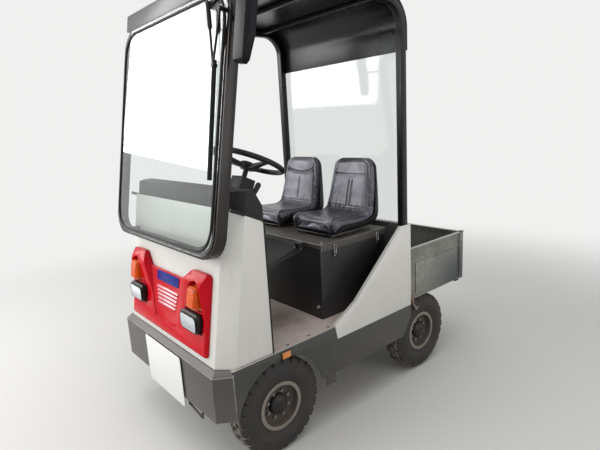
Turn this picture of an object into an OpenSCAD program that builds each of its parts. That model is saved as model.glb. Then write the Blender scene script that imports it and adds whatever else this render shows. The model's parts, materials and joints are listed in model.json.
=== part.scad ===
// Airport baggage tug: two-seat electric tractor with an open cab, roof, tall windscreen and a small load bed.
// Stations run forward from the rear axle. The finished part is shifted so its box is centred on the origin.
// Z = 0 is the ground, +X is forward, +Y is the driver's side.

/* [Running gear] */
// Distance from rear axle to front axle
wheelbase = 1100; // [1090:5:1110]
// Distance between the centre planes of a pair of wheels
track = 900; // [896:1:903]
// Tyre radius at the tips of the tread blocks
tyre_r = 233; // [229:1:234]
// Width of the tyre across its sidewalls
tyre_w = 124; // [118:1:126]
// Radius of the rim flange
rim_flange_r = 118; // [112:1:122]
// Radius of the rim barrel
rim_barrel_r = 100; // [94:1:104]
// Width of the rim over its flanges
rim_w = 100; // [90:1:106]
// How far the wheel disc lies inboard of the rim's outer edge
disc_inset = 44; // [36:1:50]
// Thickness of rim and wheel disc
rim_t = 6; // [4:1:8]
// Outer radius of the wheel hub
hub_r = 40; // [36:1:44]
// Radius of the spindles and stub axles
spindle_r = 15; // [12:1:17]
// Radial running clearance in hubs and on pins
run_gap = 0.06; // [0.03:0.01:0.09]

/* [Steering] */
// Distance of the kingpin inboard of the wheel's centre plane
kingpin_inset = 80; // [76:1:84]
// Radius of the kingpin
kingpin_r = 10; // [8:1:12]
// Outer radius of the axle's end boss
axle_boss_r = 18; // [16:1:19]
// Height of the axle's end boss
axle_boss_h = 62; // [56:1:66]
// Length of the steering arm behind the kingpin
steer_arm = 130; // [120:1:140]
// Radius of the track rod
track_rod_r = 9; // [8:1:11]
// Height and fore-aft depth of the front axle beam
beam_side = 46; // [42:1:50]

/* [Chassis] */
// Height of the floor
floor_z = 520; // [516:1:530]
// Thickness of the floor plates
floor_t = 10; // [6:1:12]
// Half the overall width of the body
half_w = 524; // [521:1:530]
// Thickness of the skirts and the white side panels
sheet_t = 6; // [4:1:8]
// Depth of the main frame rails
rail_h = 80; // [70:1:90]
// Width of the main frame rails
rail_w = 60; // [50:1:66]
// Distance of the rails' centre from the middle
rail_y = 220; // [210:1:226]
// Station of the rear end of the load bed
bed_rear = -427; // [-440:1:-415]
// Station of the bulkhead behind the cab
bulkhead_s = 134; // [130:1:138]

/* [Nose] */
// Distance of the bumper's front face ahead of the front axle
nose_ahead = 331; // [325:1:340]
// Half the width of the bumper's front face
nose_half = 473; // [465:1:480]
// How far the bumper's corner bevel runs back
nose_bevel = 75; // [65:1:85]
// Height of the bumper's lower edge
nose_low_z = 289; // [280:1:300]
// Height of the bumper's upper outer edge
nose_top_z = 499; // [494:1:504]
// Height of the skirts' lower edge
skirt_low_z = 276; // [268:1:284]
// Radius of the front wheel arch
arch_r = 250; // [247:1:252]
// Height of the flat top of the wheel arch
arch_top_z = 476; // [474:1:480]
// Distance of the apron's rear edge, where the open step begins, behind the bumper's face
step_set = 294; // [286:1:301]
// Station where the open step ends, at the white side panel
step_rear = 755; // [750:1:765]

/* [Apron] */
// Distance of the apron's foot behind the bumper's face
apron_set = 29; // [25:1:33]
// Half the width of the apron's flat front
apron_half = 450; // [440:1:458]
// Size of the apron's corner bevel
apron_bevel = 66; // [60:1:72]
// Lean of the apron's front, in degrees from upright
apron_lean = 9.5; // [8.5:0.5:10.5]
// Thickness of the apron's wall
apron_t = 12; // [8:1:16]
// Height of the apron's top at the front
apron_top_z = 1196; // [1185:1:1205]
// Height of the apron's top at its rear edge
apron_rear_z = 1133; // [1120:1:1140]
// Height of the top of the dashboard
dash_top_z = 1262; // [1250:1:1275]

/* [Fascia] */
// Height of the red fascia's lower edge
fascia_low_z = 553; // [548:1:560]
// Height of the fascia between its two humps
fascia_dip_z = 850; // [840:1:860]
// Height of the humps' tops
fascia_top_z = 914; // [904:1:922]
// Half the width of the fascia
fascia_half = 403; // [395:1:410]
// Depth of the fascia round its lower half
fascia_t = 20; // [16:1:24]
// Depth of the humps at their peak, over the indicators
hump_t = 50; // [44:1:54]
// Depth of the sunk middle panel of the fascia
panel_t = 12; // [8:1:13]
// Number of louvre slots in the fascia
louvre_count = 5; // [4:1:6]
// Distance between louvre slots
louvre_pitch = 19; // [17:1:21]
// Distance of the indicators from the middle
indicator_y = 318; // [310:1:324]
// Width of an indicator lens
indicator_w = 78; // [72:1:82]
// Height of an indicator lens
indicator_h = 98; // [90:1:102]
// How far an indicator lens stands out of its recess
indicator_t = 46; // [38:1:50]
// Height of the indicators
indicator_z = 806; // [798:1:814]
// Distance of the headlamps from the middle
headlamp_y = 292; // [285:1:300]
// Width of a headlamp
headlamp_w = 150; // [140:1:158]
// Height of a headlamp
headlamp_h = 88; // [80:1:96]
// Height of the headlamps' centre
headlamp_z = 692; // [685:1:700]

/* [Windscreen] */
// Half the width of the windscreen frame
screen_half = 530; // [526:1:534]
// Height of the frame's lower edge
screen_low_z = 1000; // [990:1:1010]
// Height of the frame's upper edge
screen_top_z = 2050; // [2040:1:2055]
// Lean of the windscreen, in degrees from upright
screen_lean = 10.3; // [9.8:0.1:10.8]
// Distance of the frame's lower edge behind the bumper's face
screen_set = 35; // [31:1:39]
// Outer corner radius of the frame
screen_corner = 112; // [100:1:120]
// Face width of the frame
screen_face = 30; // [26:1:34]
// Fore-aft depth of the frame
screen_depth = 50; // [44:1:54]
// Thickness of the glass
glass_t = 5; // [4:1:6]

/* [Roof] */
// Side of the square roof tubes
tube = 40; // [36:1:44]
// Half the width over the roof tubes
roof_half = 518; // [512:1:518]
// Height of the top of the roof tubes
rail_top_z = 2124; // [2115:1:2130]
// Outer radius of the bend at the rear of the roof tubes
roof_bend_r = 150; // [140:1:160]
// Thickness of the roof skin
roof_t = 10; // [6:1:12]
// Height of the lower edge of the roof's rear apron
header_z = 1862; // [1850:1:1875]

/* [Seat box] */
// Station of the front of the battery box
box_front = 735; // [730:1:740]
// Station of the rear of the battery box
box_rear = 240; // [235:1:250]
// Half the width of the battery box
box_half = 417; // [410:1:422]
// Height of the battery box's rim
box_top_z = 900; // [892:1:905]
// Thickness of the battery box's walls
box_t = 6; // [4:1:8]
// Thickness of the lid
lid_t = 20; // [16:1:24]
// Distance of each seat's centre from the middle
seat_y = 224; // [220:1:228]
// Width of a seat cushion
seat_w = 384; // [370:1:390]
// Station of the front of the seat cushions
seat_front = 618; // [612:1:624]
// Height of the top of the seat backs
seat_top_z = 1315; // [1300:1:1325]

/* [Side panels] */
// Height of the white side panel's top
panel_top_z = 931; // [926:1:936]
// Height of the white side panel's lower edge
panel_low_z = 451; // [446:1:456]

/* [Load bed] */
// Height of the bed sides' top edge
bed_top_z = 785; // [775:1:795]
// Height of the bed sides' lower edge
bed_low_z = 474; // [472:1:480]
// Thickness of the bed sides and tailgate over their folds
bed_t = 20; // [16:1:24]

/* [Tow coupling] */
// Radius of the hole for the towing pin
tow_pin_r = 12.5; // [10:0.5:14]
// Height of the middle of the towing jaw
tow_z = 404; // [398:1:410]
// Gap between the jaw's plates
tow_gap = 40; // [36:1:46]
// Thickness of each jaw plate
tow_plate = 12; // [10:1:14]
// Station of the towing pin
tow_pin_s = -470; // [-474:1:-466]

/* [Controls] */
// Distance of the steering wheel's centre from the middle
wheel_y = 220; // [214:1:226]
// Distance of the middle of the steering wheel behind the bumper's face
wheel_set = 443; // [437:1:449]
// Height of the middle of the steering wheel's rim
wheel_z = 1357; // [1350:1:1364]
// Radius of the steering wheel's rim
wheel_r = 168; // [164:1:172]
// Thickness radius of the steering wheel's rim
wheel_rim_r = 13; // [11:1:15]
// Tilt of the steering wheel from level, in degrees
wheel_tilt = 25; // [24:1:26]

/* [Mirrors] */
// How far the mirrors reach beyond the windscreen frame
mirror_out = 135; // [125:1:150]
// Distance of the mirrors' lower edge up the windscreen
mirror_low = 755; // [745:1:765]
// Height of a mirror's housing
mirror_h = 330; // [310:1:340]
// Width of a mirror's housing
mirror_w = 96; // [88:1:104]
// Depth of a mirror's housing
mirror_d = 40; // [34:1:46]

/* [Hidden] */
$fn = 48;
eps = 0.3;
nose_s = wheelbase + nose_ahead;
step_front = nose_s - step_set;
screen_s = nose_s - screen_set;
wheel_s = nose_s - wheel_set;
wheel_axis_y = track / 2;
kingpin_y = wheel_axis_y - kingpin_inset;
plate_t = 3;
plate_gap = 6;
front_end = nose_s + plate_gap + plate_t;
tow_half = 32;
rear_end = tow_pin_s - tow_half;
mid_s = (front_end + rear_end) / 2;
skin_inner = half_w - sheet_t;
floor_low = floor_z - floor_t;
frame_low = floor_low - rail_h;
apron_foot = nose_s - apron_set;
bumper_rear = nose_s - nose_bevel;

// Moves stations, counted from the rear axle, to the part's own centre
module place() translate([-mid_s, 0, 0]) children();

// Draws its children on both sides of the vehicle
module both_sides() {
    children();
    mirror([0, 1, 0]) children();
}

// A plate upright in the X-Z plane between two distances from the middle
module side_plate(y0, y1, outline)
    translate([0, y1, 0]) rotate([90, 0, 0]) linear_extrude(y1 - y0) polygon(outline);

// A block given by its low and high corners
module block(low, high) translate(low) cube(high - low);

// A rounded rectangle centred on the origin, made of true arcs
module round_rect(w, h, r) {
    square([w - 2 * r, h], center = true);
    square([w, h - 2 * r], center = true);
    for (x = [-1, 1], y = [-1, 1]) translate([x * (w / 2 - r), y * (h / 2 - r)]) circle(r);
}

// A straight rod between two points
module rod(a, b, r) {
    d = b - a;
    len = norm(d);
    translate(a) rotate([0, acos(d.z / len), atan2(d.y, d.x)]) cylinder(h = len, r = r);
}

// Main frame: two rails, cross members and outriggers
rail_front = nose_s - 46;
cross_members = [
    // [rear station, front station, half width]
    [bed_rear + 7, bed_rear + 47, 500],
    [bulkhead_s + 136, bulkhead_s + 176, skin_inner],
    [step_rear + 9, step_rear + 49, skin_inner],
    [nose_s - 111, nose_s - 81, 500]
];
module chassis_frame() color("dimgray") place() {
    both_sides() block([bed_rear + 47, rail_y - rail_w / 2, frame_low],
                       [rail_front, rail_y + rail_w / 2, floor_low]);
    for (m = cross_members) block([m[0], -m[2], floor_low - 60], [m[1], m[2], floor_low]);
}

// Plan outline of the nose: bevelled front corners, inset by a wall
function nose_plan(inset, back) = let (c = inset * 0.45) [
    [back, -(half_w - inset)], [bumper_rear, -(half_w - inset)],
    [nose_s - inset, -(nose_half - c)], [nose_s - inset, nose_half - c],
    [bumper_rear, half_w - inset], [back, half_w - inset]
];
module front_bumper() color("dimgray") place() difference() {
    union() {
        translate([0, 0, nose_low_z]) linear_extrude(nose_top_z - nose_low_z) polygon(nose_plan(0, bumper_rear));
        hull() {
            translate([0, 0, nose_top_z - 1]) linear_extrude(1) polygon(nose_plan(0, bumper_rear));
            translate([0, 0, floor_z - 1]) linear_extrude(1) polygon(nose_plan(apron_set - 4, bumper_rear));
        }
    }
    translate([0, 0, nose_low_z + sheet_t]) linear_extrude(nose_top_z - nose_low_z - 2 * sheet_t)
        polygon(nose_plan(sheet_t, bumper_rear - 1));
    hull() {
        translate([0, 0, nose_top_z - sheet_t - 2]) linear_extrude(1)
            polygon(nose_plan(sheet_t, bumper_rear - 1));
        translate([0, 0, floor_low - 1 + eps]) linear_extrude(1)
            polygon(nose_plan(apron_set + 4, bumper_rear - 1));
    }
    translate([0, 0, nose_low_z - 1]) linear_extrude(sheet_t + 2) polygon(nose_plan(28, bumper_rear - 1));
}

// One black skirt: wheel arch in front, cut back on the slant ahead of the rear tyre
skirt_outline = [
    [bulkhead_s, panel_low_z - eps], [bulkhead_s, 375], [208, skirt_low_z], [bumper_rear - eps, skirt_low_z],
    [bumper_rear - eps, floor_z], [step_rear, floor_z], [step_rear - 15, panel_low_z - eps]
];
module wheel_arch() intersection() {
    translate([wheelbase, 0, tyre_r]) rotate([90, 0, 0]) cylinder(h = 3 * half_w, r = arch_r, center = true);
    block([0, -2 * half_w, 0], [2 * wheelbase, 2 * half_w, arch_top_z]);
}
stiffener = 16;
module side_skirts() color("dimgray") place() difference() {
    both_sides() {
        side_plate(skin_inner, half_w, skirt_outline);
        block([step_rear - 12, skin_inner - stiffener, skirt_low_z + 30],
              [wheelbase - arch_r - 8, skin_inner, skirt_low_z + 36]);
        block([step_rear - 10, skin_inner - stiffener, skirt_low_z - 64],
              [step_rear + 56, skin_inner - stiffener + 5, skirt_low_z + 34]);
    }
    wheel_arch();
    block([bumper_rear - 40, -2 * half_w, 0], [bumper_rear, 2 * half_w, nose_low_z]);
}

module floor_plate() color("rosybrown") place()
    block([bulkhead_s + 14, -skin_inner + eps, floor_low], [bumper_rear - 2, skin_inner - eps, floor_z]);

// Leaning prism with bevelled corners that the apron and what fits in it are cut from
module apron_prism(inset) {
    w = skin_inner - 2 - inset;
    c = inset * 0.42;
    back = -step_set - 200;
    translate([apron_foot, 0, floor_z]) rotate([0, -apron_lean, 0]) translate([0, 0, -200])
        linear_extrude(2 * (dash_top_z - floor_z)) polygon([
            [back, -w], [-apron_bevel - c, -w], [-inset, -(apron_half - c)],
            [-inset, apron_half - c], [-apron_bevel - c, w], [back, w]
        ]);
}
corner_r = 18;
apron_side = [
    [step_front, floor_z], [step_front, apron_rear_z - corner_r],
    for (a = [170:-20:110]) [step_front + corner_r * (1 + cos(a)), apron_rear_z - corner_r * (1 - sin(a))],
    [apron_foot - 110, apron_top_z], [apron_foot + 40, apron_top_z], [apron_foot + 40, floor_z]
];
module front_apron() color("gainsboro") place() difference() {
    intersection() {
        apron_prism(0);
        side_plate(-half_w, half_w, apron_side);
    }
    apron_prism(apron_t);
}

// Places its children on the apron's leaning front: X out of the face, Z up along it, origin at the foot
module on_apron() translate([apron_foot, 0, floor_z]) rotate([0, -apron_lean, 0]) children();
function up_apron(z) = (z - floor_z) / cos(apron_lean);

function turn(a) = [cos(a), sin(a)];
// Rounded corner of an outline: arc points about a centre between two angles
function arc(c, r, from, to) = [for (i = [0:4]) c + r * turn(from + (to - from) * i / 4)];
function mirrored(points) = [for (i = [len(points) - 1:-1:0]) [-points[i].x, points[i].y]];

// Fascia outline seen from the front, as points [y, height along the face]: its right half, then mirrored
fascia_low = up_apron(fascia_low_z);
fascia_dip = up_apron(fascia_dip_z);
fascia_top = up_apron(fascia_top_z);
hump_half = 76;
hump_corner = 26;
fascia_side = concat(
    arc([fascia_half - 16, fascia_low + 16], 16, -90, 0),
    arc([fascia_half - hump_corner, fascia_top - hump_corner], hump_corner, 0, 90),
    arc([indicator_y - hump_half + hump_corner, fascia_top - hump_corner], hump_corner, 90, 155),
    [[indicator_y - 122, fascia_dip]]
);
// Depth of the fascia seen from the side, as points [depth, height along the face]
fascia_depths = [
    [eps, fascia_low - 9], [fascia_t - 12, fascia_low - 9], [fascia_t, fascia_low + 11],
    [fascia_t, fascia_low + 158], [hump_t, fascia_top - 62], [hump_t - 3, fascia_top - 46],
    [fascia_t - 4, fascia_top + 9], [eps, fascia_top + 9]
];
// Plan of the fascia with its sloping side walls, as points [depth, y]
side_slope = 30;
fascia_plan = [
    [eps, -fascia_half - 3], [2, -fascia_half - 3], [hump_t, side_slope - fascia_half],
    [hump_t, fascia_half - side_slope], [2, fascia_half + 3], [eps, fascia_half + 3]
];
// The sunk middle panel narrows downwards between the humps
sunk_low = 66;
sunk_half = 112;
sunk_turn = atan((indicator_y - 129 - sunk_half) / (fascia_dip - fascia_low - sunk_low));
sunk_lean = 20;
louvre_top_z = 768;
louvre_h = 14;
louvre_half = 114;
louvre_narrows = 5;
louvre_lean = 14;
recess_w = indicator_w + 26;
recess_h = indicator_h + 26;
lamp_seat = 14;
lamp_room = 3;
module sunk_side() translate([panel_t, sunk_half, fascia_low + sunk_low]) rotate([-sunk_turn, 0, 0])
    rotate([0, 0, sunk_lean]) translate([-half_w, -2 * half_w, -half_w])
        cube([2 * half_w, 2 * half_w, 3 * half_w]);
module sunk_panel() intersection() {
    sunk_side();
    mirror([0, 1, 0]) sunk_side();
    block([panel_t, -half_w, fascia_low + sunk_low - 40], [2 * hump_t, half_w, fascia_top + 40]);
    translate([panel_t, 0, fascia_low + sunk_low - 12]) rotate([0, -30, 0]) translate([-half_w, -half_w, 0])
        cube([3 * half_w, 2 * half_w, 2 * half_w]);
}
module indicator_recess() translate([lamp_seat, indicator_y, up_apron(indicator_z)]) rotate([90, 0, 90])
    linear_extrude(hump_t) {
        translate([-recess_w / 2, -recess_h / 2]) square([recess_w, recess_h / 2 + 4]);
        translate([0, recess_h / 2 - recess_w / 2 + 8]) circle(recess_w / 2);
        translate([-recess_w / 2, 0]) square([recess_w, recess_h / 2 - recess_w / 2 + 8]);
    }
module front_fascia() color("firebrick") place() on_apron() difference() {
    intersection() {
        rotate([90, 0, 90]) linear_extrude(hump_t + 1) polygon(concat(fascia_side, mirrored(fascia_side)));
        side_plate(-fascia_half - 1, fascia_half + 1, fascia_depths);
        translate([0, 0, fascia_low - 1]) linear_extrude(fascia_top - fascia_low + 2) polygon(fascia_plan);
    }
    sunk_panel();
    for (i = [0:louvre_count - 1]) {
        slot_half = louvre_half - i * louvre_narrows;
        translate([0, 0, up_apron(louvre_top_z) - louvre_h / 2 - i * louvre_pitch]) rotate([0, louvre_lean, 0])
            translate([-hump_t, -slot_half, -louvre_h / 2]) cube([2 * hump_t, 2 * slot_half, louvre_h]);
    }
    both_sides() indicator_recess();
    both_sides() translate([lamp_seat, headlamp_y, up_apron(headlamp_z)]) rotate([90, 0, 90])
        linear_extrude(hump_t) square([headlamp_w + 2 * lamp_room, headlamp_h + 2 * lamp_room], center = true);
}

// Headlamp housings, deeper at the top, with a lens set in the face
lamp_depth = 36;
lamp_taper = 12;
lamp_lean = atan(lamp_taper / (headlamp_h - 8));
lamp_rim = 7;
lens_t = 5;
lamp_side = [
    // [depth, height] about the lamp's middle
    [0, -headlamp_h / 2], [lamp_depth - lamp_taper, -headlamp_h / 2], [lamp_depth, headlamp_h / 2 - 8],
    [lamp_depth - 6, headlamp_h / 2], [0, headlamp_h / 2]
];
module headlamps() color("black") place() on_apron() both_sides()
    translate([lamp_seat + eps, headlamp_y, up_apron(headlamp_z)]) {
        intersection() {
            side_plate(-headlamp_w / 2, headlamp_w / 2, lamp_side);
            rotate([90, 0, 90]) linear_extrude(lamp_depth) round_rect(headlamp_w, headlamp_h, 18);
        }
        translate([lamp_depth - lamp_taper, 0, -headlamp_h / 2]) rotate([0, lamp_lean, 0])
            translate([-lens_t, 0, headlamp_h / 2 - 2]) rotate([90, 0, 90]) linear_extrude(2 * lens_t)
                round_rect(headlamp_w - 2 * lamp_rim, headlamp_h - 2 * lamp_rim - 6, 12);
    }

// Boxy indicators in the fascia's recesses and small markers over the front wheels
marker_s = wheelbase - 26;
marker_w = 46;
marker_t = 10;
lens_steps = [
    // [depth, growth of the outline]
    [8, 8],
    [indicator_t - 10, 0],
    [indicator_t - 4, -8],
    [indicator_t, -18]
];
module amber_lamps() color("orange") place() {
    on_apron() both_sides() translate([lamp_seat + eps, indicator_y, up_apron(indicator_z) - 4])
        rotate([90, 0, 90]) for (s = lens_steps)
            linear_extrude(s[0]) round_rect(indicator_w + s[1], indicator_h + s[1], 16 + s[1] / 4);
    both_sides() block([marker_s - marker_w / 2, half_w, arch_top_z + 4],
                       [marker_s + marker_w / 2, half_w + marker_t, arch_top_z + 32]);
}

// Blank number board on two spacers, hanging a little below the bumper
plate_w = 390;
plate_h = 250;
plate_low_z = nose_low_z - 44;
plate_corner = 14;
spacer_r = 14;
module number_plate() color("white") place() {
    translate([nose_s + plate_gap, 0, plate_low_z + plate_h / 2]) rotate([90, 0, 90])
        linear_extrude(plate_t) round_rect(plate_w, plate_h, plate_corner);
    both_sides() translate([nose_s, plate_w * 0.35, nose_low_z + 100]) rotate([0, 90, 0])
        cylinder(h = plate_gap + 0.5, r = spacer_r);
}

// Places its children on the windscreen plane: X out of the face, Z up along it, origin at its lower edge
module on_screen() translate([screen_s, 0, screen_low_z]) rotate([0, -screen_lean, 0]) children();
screen_len = (screen_top_z - screen_low_z) / cos(screen_lean);
module windscreen_frame() color("black") place() {
    on_screen() translate([-screen_depth, 0, screen_len / 2]) rotate([90, 0, 90]) linear_extrude(screen_depth)
        difference() {
            round_rect(2 * screen_half, screen_len, screen_corner);
            round_rect(2 * (screen_half - screen_face), screen_len - 2 * screen_face,
                       screen_corner - screen_face);
        }
    difference() {
        both_sides() block([apron_foot - 120, screen_half - 150, screen_low_z + 6],
                           [screen_s - 30, screen_half - 118, screen_low_z + 24]);
        apron_prism(-eps);
        on_screen() translate([-screen_depth, -600, -200]) cube([400, 1200, 1600]);
    }
}
glass_half = screen_half - 12;
module windscreen_glass() color("lightblue") place() on_screen()
    translate([0, 0, screen_len / 2]) rotate([90, 0, 90]) linear_extrude(glass_t)
        round_rect(2 * glass_half, screen_len - 24, screen_corner - 12);

// Wiper with two arms on a base bar, as points [distance from the middle, height up the screen]
wiper_spindles = [[403, screen_len - 65], [500, screen_len - 104]];
wiper_joint = [462, screen_len - 305];
blade_low = [478, screen_len - 743];
wiper_lift = glass_t + 14;
function on_glass(p, out) = [out, p.x, p.y];
module wiper() color("black") place() on_screen() {
    bar = wiper_spindles[1] - wiper_spindles[0];
    translate(on_glass(wiper_spindles[0], glass_t)) rotate([-atan2(-bar.x, bar.y) - 90, 0, 0])
        translate([0, -14, -11]) cube([wiper_lift - glass_t, norm(bar) + 28, 22]);
    for (p = wiper_spindles) {
        translate(on_glass(p, glass_t)) rotate([0, 90, 0]) cylinder(h = wiper_lift + 10, r = 9);
        rod(on_glass(p, wiper_lift + 8), on_glass(wiper_joint, wiper_lift + 2), 5);
    }
    thick_end = wiper_spindles[0] * 0.6 + wiper_joint * 0.4;
    rod(on_glass(wiper_spindles[0], wiper_lift + 8), on_glass(thick_end, wiper_lift + 5), 9);
    translate(on_glass(wiper_joint, glass_t + 2)) rotate([0, 90, 0]) cylinder(h = wiper_lift, r = 10);
    rod(on_glass(wiper_joint + [-2, 22], glass_t + 14), on_glass(blade_low, glass_t + 14), 6);
    rod(on_glass(wiper_joint + [-2, 22], glass_t + 7), on_glass(blade_low, glass_t + 7), 6.7);
}

// Steering column: jacket from the floor to the steering wheel, shroud at its top
column_low = (wheel_z - floor_z) / cos(wheel_tilt) - 14;
module on_column() translate([wheel_s, wheel_y, wheel_z]) rotate([0, -wheel_tilt, 0]) children();
module column_shape(grow) {
    on_column() {
        translate([0, 0, -column_low]) cylinder(h = column_low - 84, r = 24 + grow);
        translate([-38 - grow, -46 - grow, -300]) cube([76 + 2 * grow, 92 + 2 * grow, 216]);
    }
}
module steering_column() color("black") place() {
    intersection() {
        column_shape(0);
        apron_prism(apron_t + eps);
        block([wheel_s - 100, 0, floor_z], [nose_s, half_w, wheel_z]);
    }
    on_column() translate([0, 0, -84]) cylinder(h = 40, r = 12);
}
dash_side = [
    [step_front - 8, 1062], [step_front - 8, 1190], [step_front + 32, dash_top_z],
    [step_front + 126, dash_top_z], [apron_foot - 116, apron_top_z + 14], [apron_foot - 60, 1062]
];
lever_foot = [step_front - 4, 380, 1176];
lever_knob = [step_front - 52, 380, 1262];
module dashboard() color("black") place() {
    difference() {
        intersection() {
            side_plate(-half_w, half_w, dash_side);
            apron_prism(apron_t + eps);
        }
        column_shape(eps);
    }
    rod(lever_foot, lever_knob, 6);
    translate(lever_knob) sphere(15);
}

// Pedals standing on the floor: brake on the left of the column's foot, drive on the right
pedal_rows = [
    // [distance from the middle, pad width]
    [330, 76],
    [128, 60]
];
module pedals() color("black") place() for (p = pedal_rows) translate([step_front + 60, p[0], floor_z]) {
    translate([0, -16, 0]) cube([60, 32, 14]);
    translate([30, 0, 8]) rotate([0, -30, 0]) {
        translate([0, -9, -4]) cube([12, 18, 124]);
        translate([-8, -p[1] / 2, 56]) cube([9, p[1], 90]);
    }
}

// One white side panel with its folded edge along the slope
panel_knee = [594, 606];
panel_outline = [
    [step_rear - 15, panel_low_z], [step_rear, floor_z + eps], panel_knee, [214, panel_top_z],
    [bulkhead_s, panel_top_z], [bulkhead_s, panel_low_z]
];
module side_panels() color("gainsboro") place() both_sides() {
    side_plate(skin_inner, half_w, panel_outline);
    side_plate(skin_inner - 18, skin_inner, [
        [step_rear - 2, floor_z + 2], panel_knee, [214, panel_top_z], [200, panel_top_z],
        [panel_knee.x - 8, panel_knee.y - 6], [step_rear - 24, floor_z + 2]
    ]);
}

hinge_s = box_front + 9;
hinge_z = box_top_z + 8;
hinge_r = 7.5;
hinge_rows = [-262, 262];
latch_rows = [box_rear + 70, box_front - 95];
lid_low = box_top_z + eps;
module battery_box() color("black") place() {
    difference() {
        block([box_rear, -box_half, floor_z], [box_front, box_half, box_top_z]);
        block([box_rear + box_t, -box_half + box_t, floor_z + box_t],
              [box_front - box_t, box_half - box_t, box_top_z + 1]);
    }
    for (y = hinge_rows, side = [-1, 1]) translate([hinge_s, y + side * 24, hinge_z]) {
        rotate([90, 0, 0]) cylinder(h = 14, r = hinge_r, center = true);
        translate([-9, -7, -34]) cube([9 + hinge_r, 14, 34]);
    }
    both_sides() for (s = latch_rows)
        block([s - 11, box_half - 1, lid_low - 58], [s + 11, box_half + 6, lid_low - 22]);
}
battery_room = 60;
battery_half = box_half - box_t - 81;
battery_h = box_top_z - floor_z - 80;
module battery_pack() color("darkslategray") place()
    block([box_rear + battery_room, -battery_half, floor_z + box_t],
          [box_front - battery_room, battery_half, floor_z + box_t + battery_h]);

// Lid of the battery box, hinged at its front edge, with the seat runners on it
lid_top = lid_low + lid_t;
runner_h = 10;
module seat_lid() color("dimgray") place() {
    difference() {
        block([box_rear - 12, -box_half - 9, lid_low - 16], [box_front - 1, box_half + 9, lid_top]);
        block([box_rear - 4, -box_half - 3, lid_low - 20], [box_front + 5, box_half + 3, lid_low]);
    }
    for (y = hinge_rows) translate([hinge_s, y, hinge_z]) {
        rotate([90, 0, 0]) cylinder(h = 33, r = hinge_r, center = true);
        translate([-12, -16.5, 0]) cube([12, 33, hinge_r]);
    }
    for (y = [-1, 1], r = [-110, 110])
        translate([box_rear + 90, y * seat_y + r - 14, lid_top]) cube([250, 28, runner_h]);
}

// Seats: a moulded shell behind and below, a padded L on it, both narrowing towards the top
seat_base = lid_top + runner_h;
module seat_front_outline(w) {
    top = seat_top_z - seat_base;
    intersection() {
        translate([0, top / 2]) round_rect(w, top, 60);
        polygon([[-w / 2, 0], [w / 2, 0], [w / 2, top * 0.34], [w * 0.41, top],
                 [-w * 0.41, top], [-w / 2, top * 0.34]]);
    }
    translate([-w / 2, 0]) square([w, 70]);
}
shell_side = [
    [seat_front - 26, 0], [232, 0], [190, 14], [174, 44], [172, 84], [226, seat_top_z - seat_base - 8],
    [246, seat_top_z - seat_base - 8], [196, 92], [200, 54], [224, 30], [seat_front - 26, 22]
];
pad_side = [
    [seat_front - 20, 22 + eps], [224 + eps, 30 + eps], [200 + eps, 54 + eps], [196 + eps, 92],
    [246 + eps, seat_top_z - seat_base - 10], [258, seat_top_z - seat_base],
    [282, seat_top_z - seat_base - 14], [300, 220], [318, 130], [352, 84], [470, 78], [seat_front - 34, 92],
    [seat_front - 6, 82], [seat_front, 58], [seat_front - 6, 34]
];
module seat_body(y, outline, w) translate([0, y, seat_base]) intersection() {
    side_plate(-w / 2, w / 2, outline);
    rotate([90, 0, 90]) linear_extrude(wheelbase) seat_front_outline(w);
}
// A pad is hollowed by wide cylinders along its cushion and its back, which leaves a roll on each side
dish_half = seat_w / 2 - 46;
dish_deep = 16;
dish_r = (dish_half * dish_half + dish_deep * dish_deep) / (2 * dish_deep);
back_low = [318, 130];
back_high = [282, seat_top_z - seat_base - 14];
back_turn = atan((back_low.x - back_high.x) / (back_high.y - back_low.y));
module seat_pad(y) difference() {
    seat_body(y, pad_side, seat_w);
    translate([back_low.x - 24, y, seat_base + 78 - dish_deep + dish_r]) rotate([0, 90, 0])
        cylinder(h = seat_front - back_low.x - 30, r = dish_r);
    translate([back_low.x - dish_deep, y, seat_base + back_low.y - 70]) rotate([0, -back_turn, 0])
        translate([dish_r, 0, 0]) cylinder(h = norm(back_high - back_low) + 10, r = dish_r);
}
module seat_shells() color("black") place() for (y = [-seat_y, seat_y]) seat_body(y, shell_side, seat_w + 6);
module seat_left() color("black") place() seat_pad(seat_y);
module seat_right() color("black") place() seat_pad(-seat_y);

// Roof tubes: pillar, bend and rail on each side, with two cross tubes
pillar_s = bulkhead_s + 18;
roof_front = screen_s - screen_depth - (rail_top_z - screen_low_z) * tan(screen_lean) - 4;
cross_tube = 25;
module tube_section() translate([-tube / 2, -tube / 2]) square(tube);
module roof_frame() color("black") place() {
    both_sides() translate([0, roof_half - tube / 2, 0]) {
        translate([pillar_s + tube / 2, 0, floor_z])
            linear_extrude(rail_top_z - roof_bend_r - floor_z) tube_section();
        translate([pillar_s + roof_bend_r, 0, rail_top_z - roof_bend_r]) rotate([90, 0, 0])
            rotate([0, 0, 90]) rotate_extrude(angle = 90) translate([roof_bend_r - tube / 2, 0]) tube_section();
        block([pillar_s + roof_bend_r, -tube / 2, rail_top_z - tube], [roof_front, tube / 2, rail_top_z]);
    }
    for (s = [pillar_s + roof_bend_r, nose_s - 791])
        block([s, tube - roof_half, rail_top_z - cross_tube], [s + cross_tube, roof_half - tube, rail_top_z]);
}
module roof_profile(grow) {
    r = roof_bend_r + grow;
    translate([pillar_s + roof_bend_r, rail_top_z - roof_bend_r]) intersection() {
        circle(r);
        translate([-r, 0]) square(r);
    }
    translate([pillar_s + roof_bend_r, 0])
        square([roof_front + 46 - pillar_s - roof_bend_r, rail_top_z + grow]);
    translate([pillar_s - grow, 0]) square([r, rail_top_z - roof_bend_r]);
}
header_len = (rail_top_z - screen_top_z) / cos(screen_lean) + screen_depth;
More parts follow.
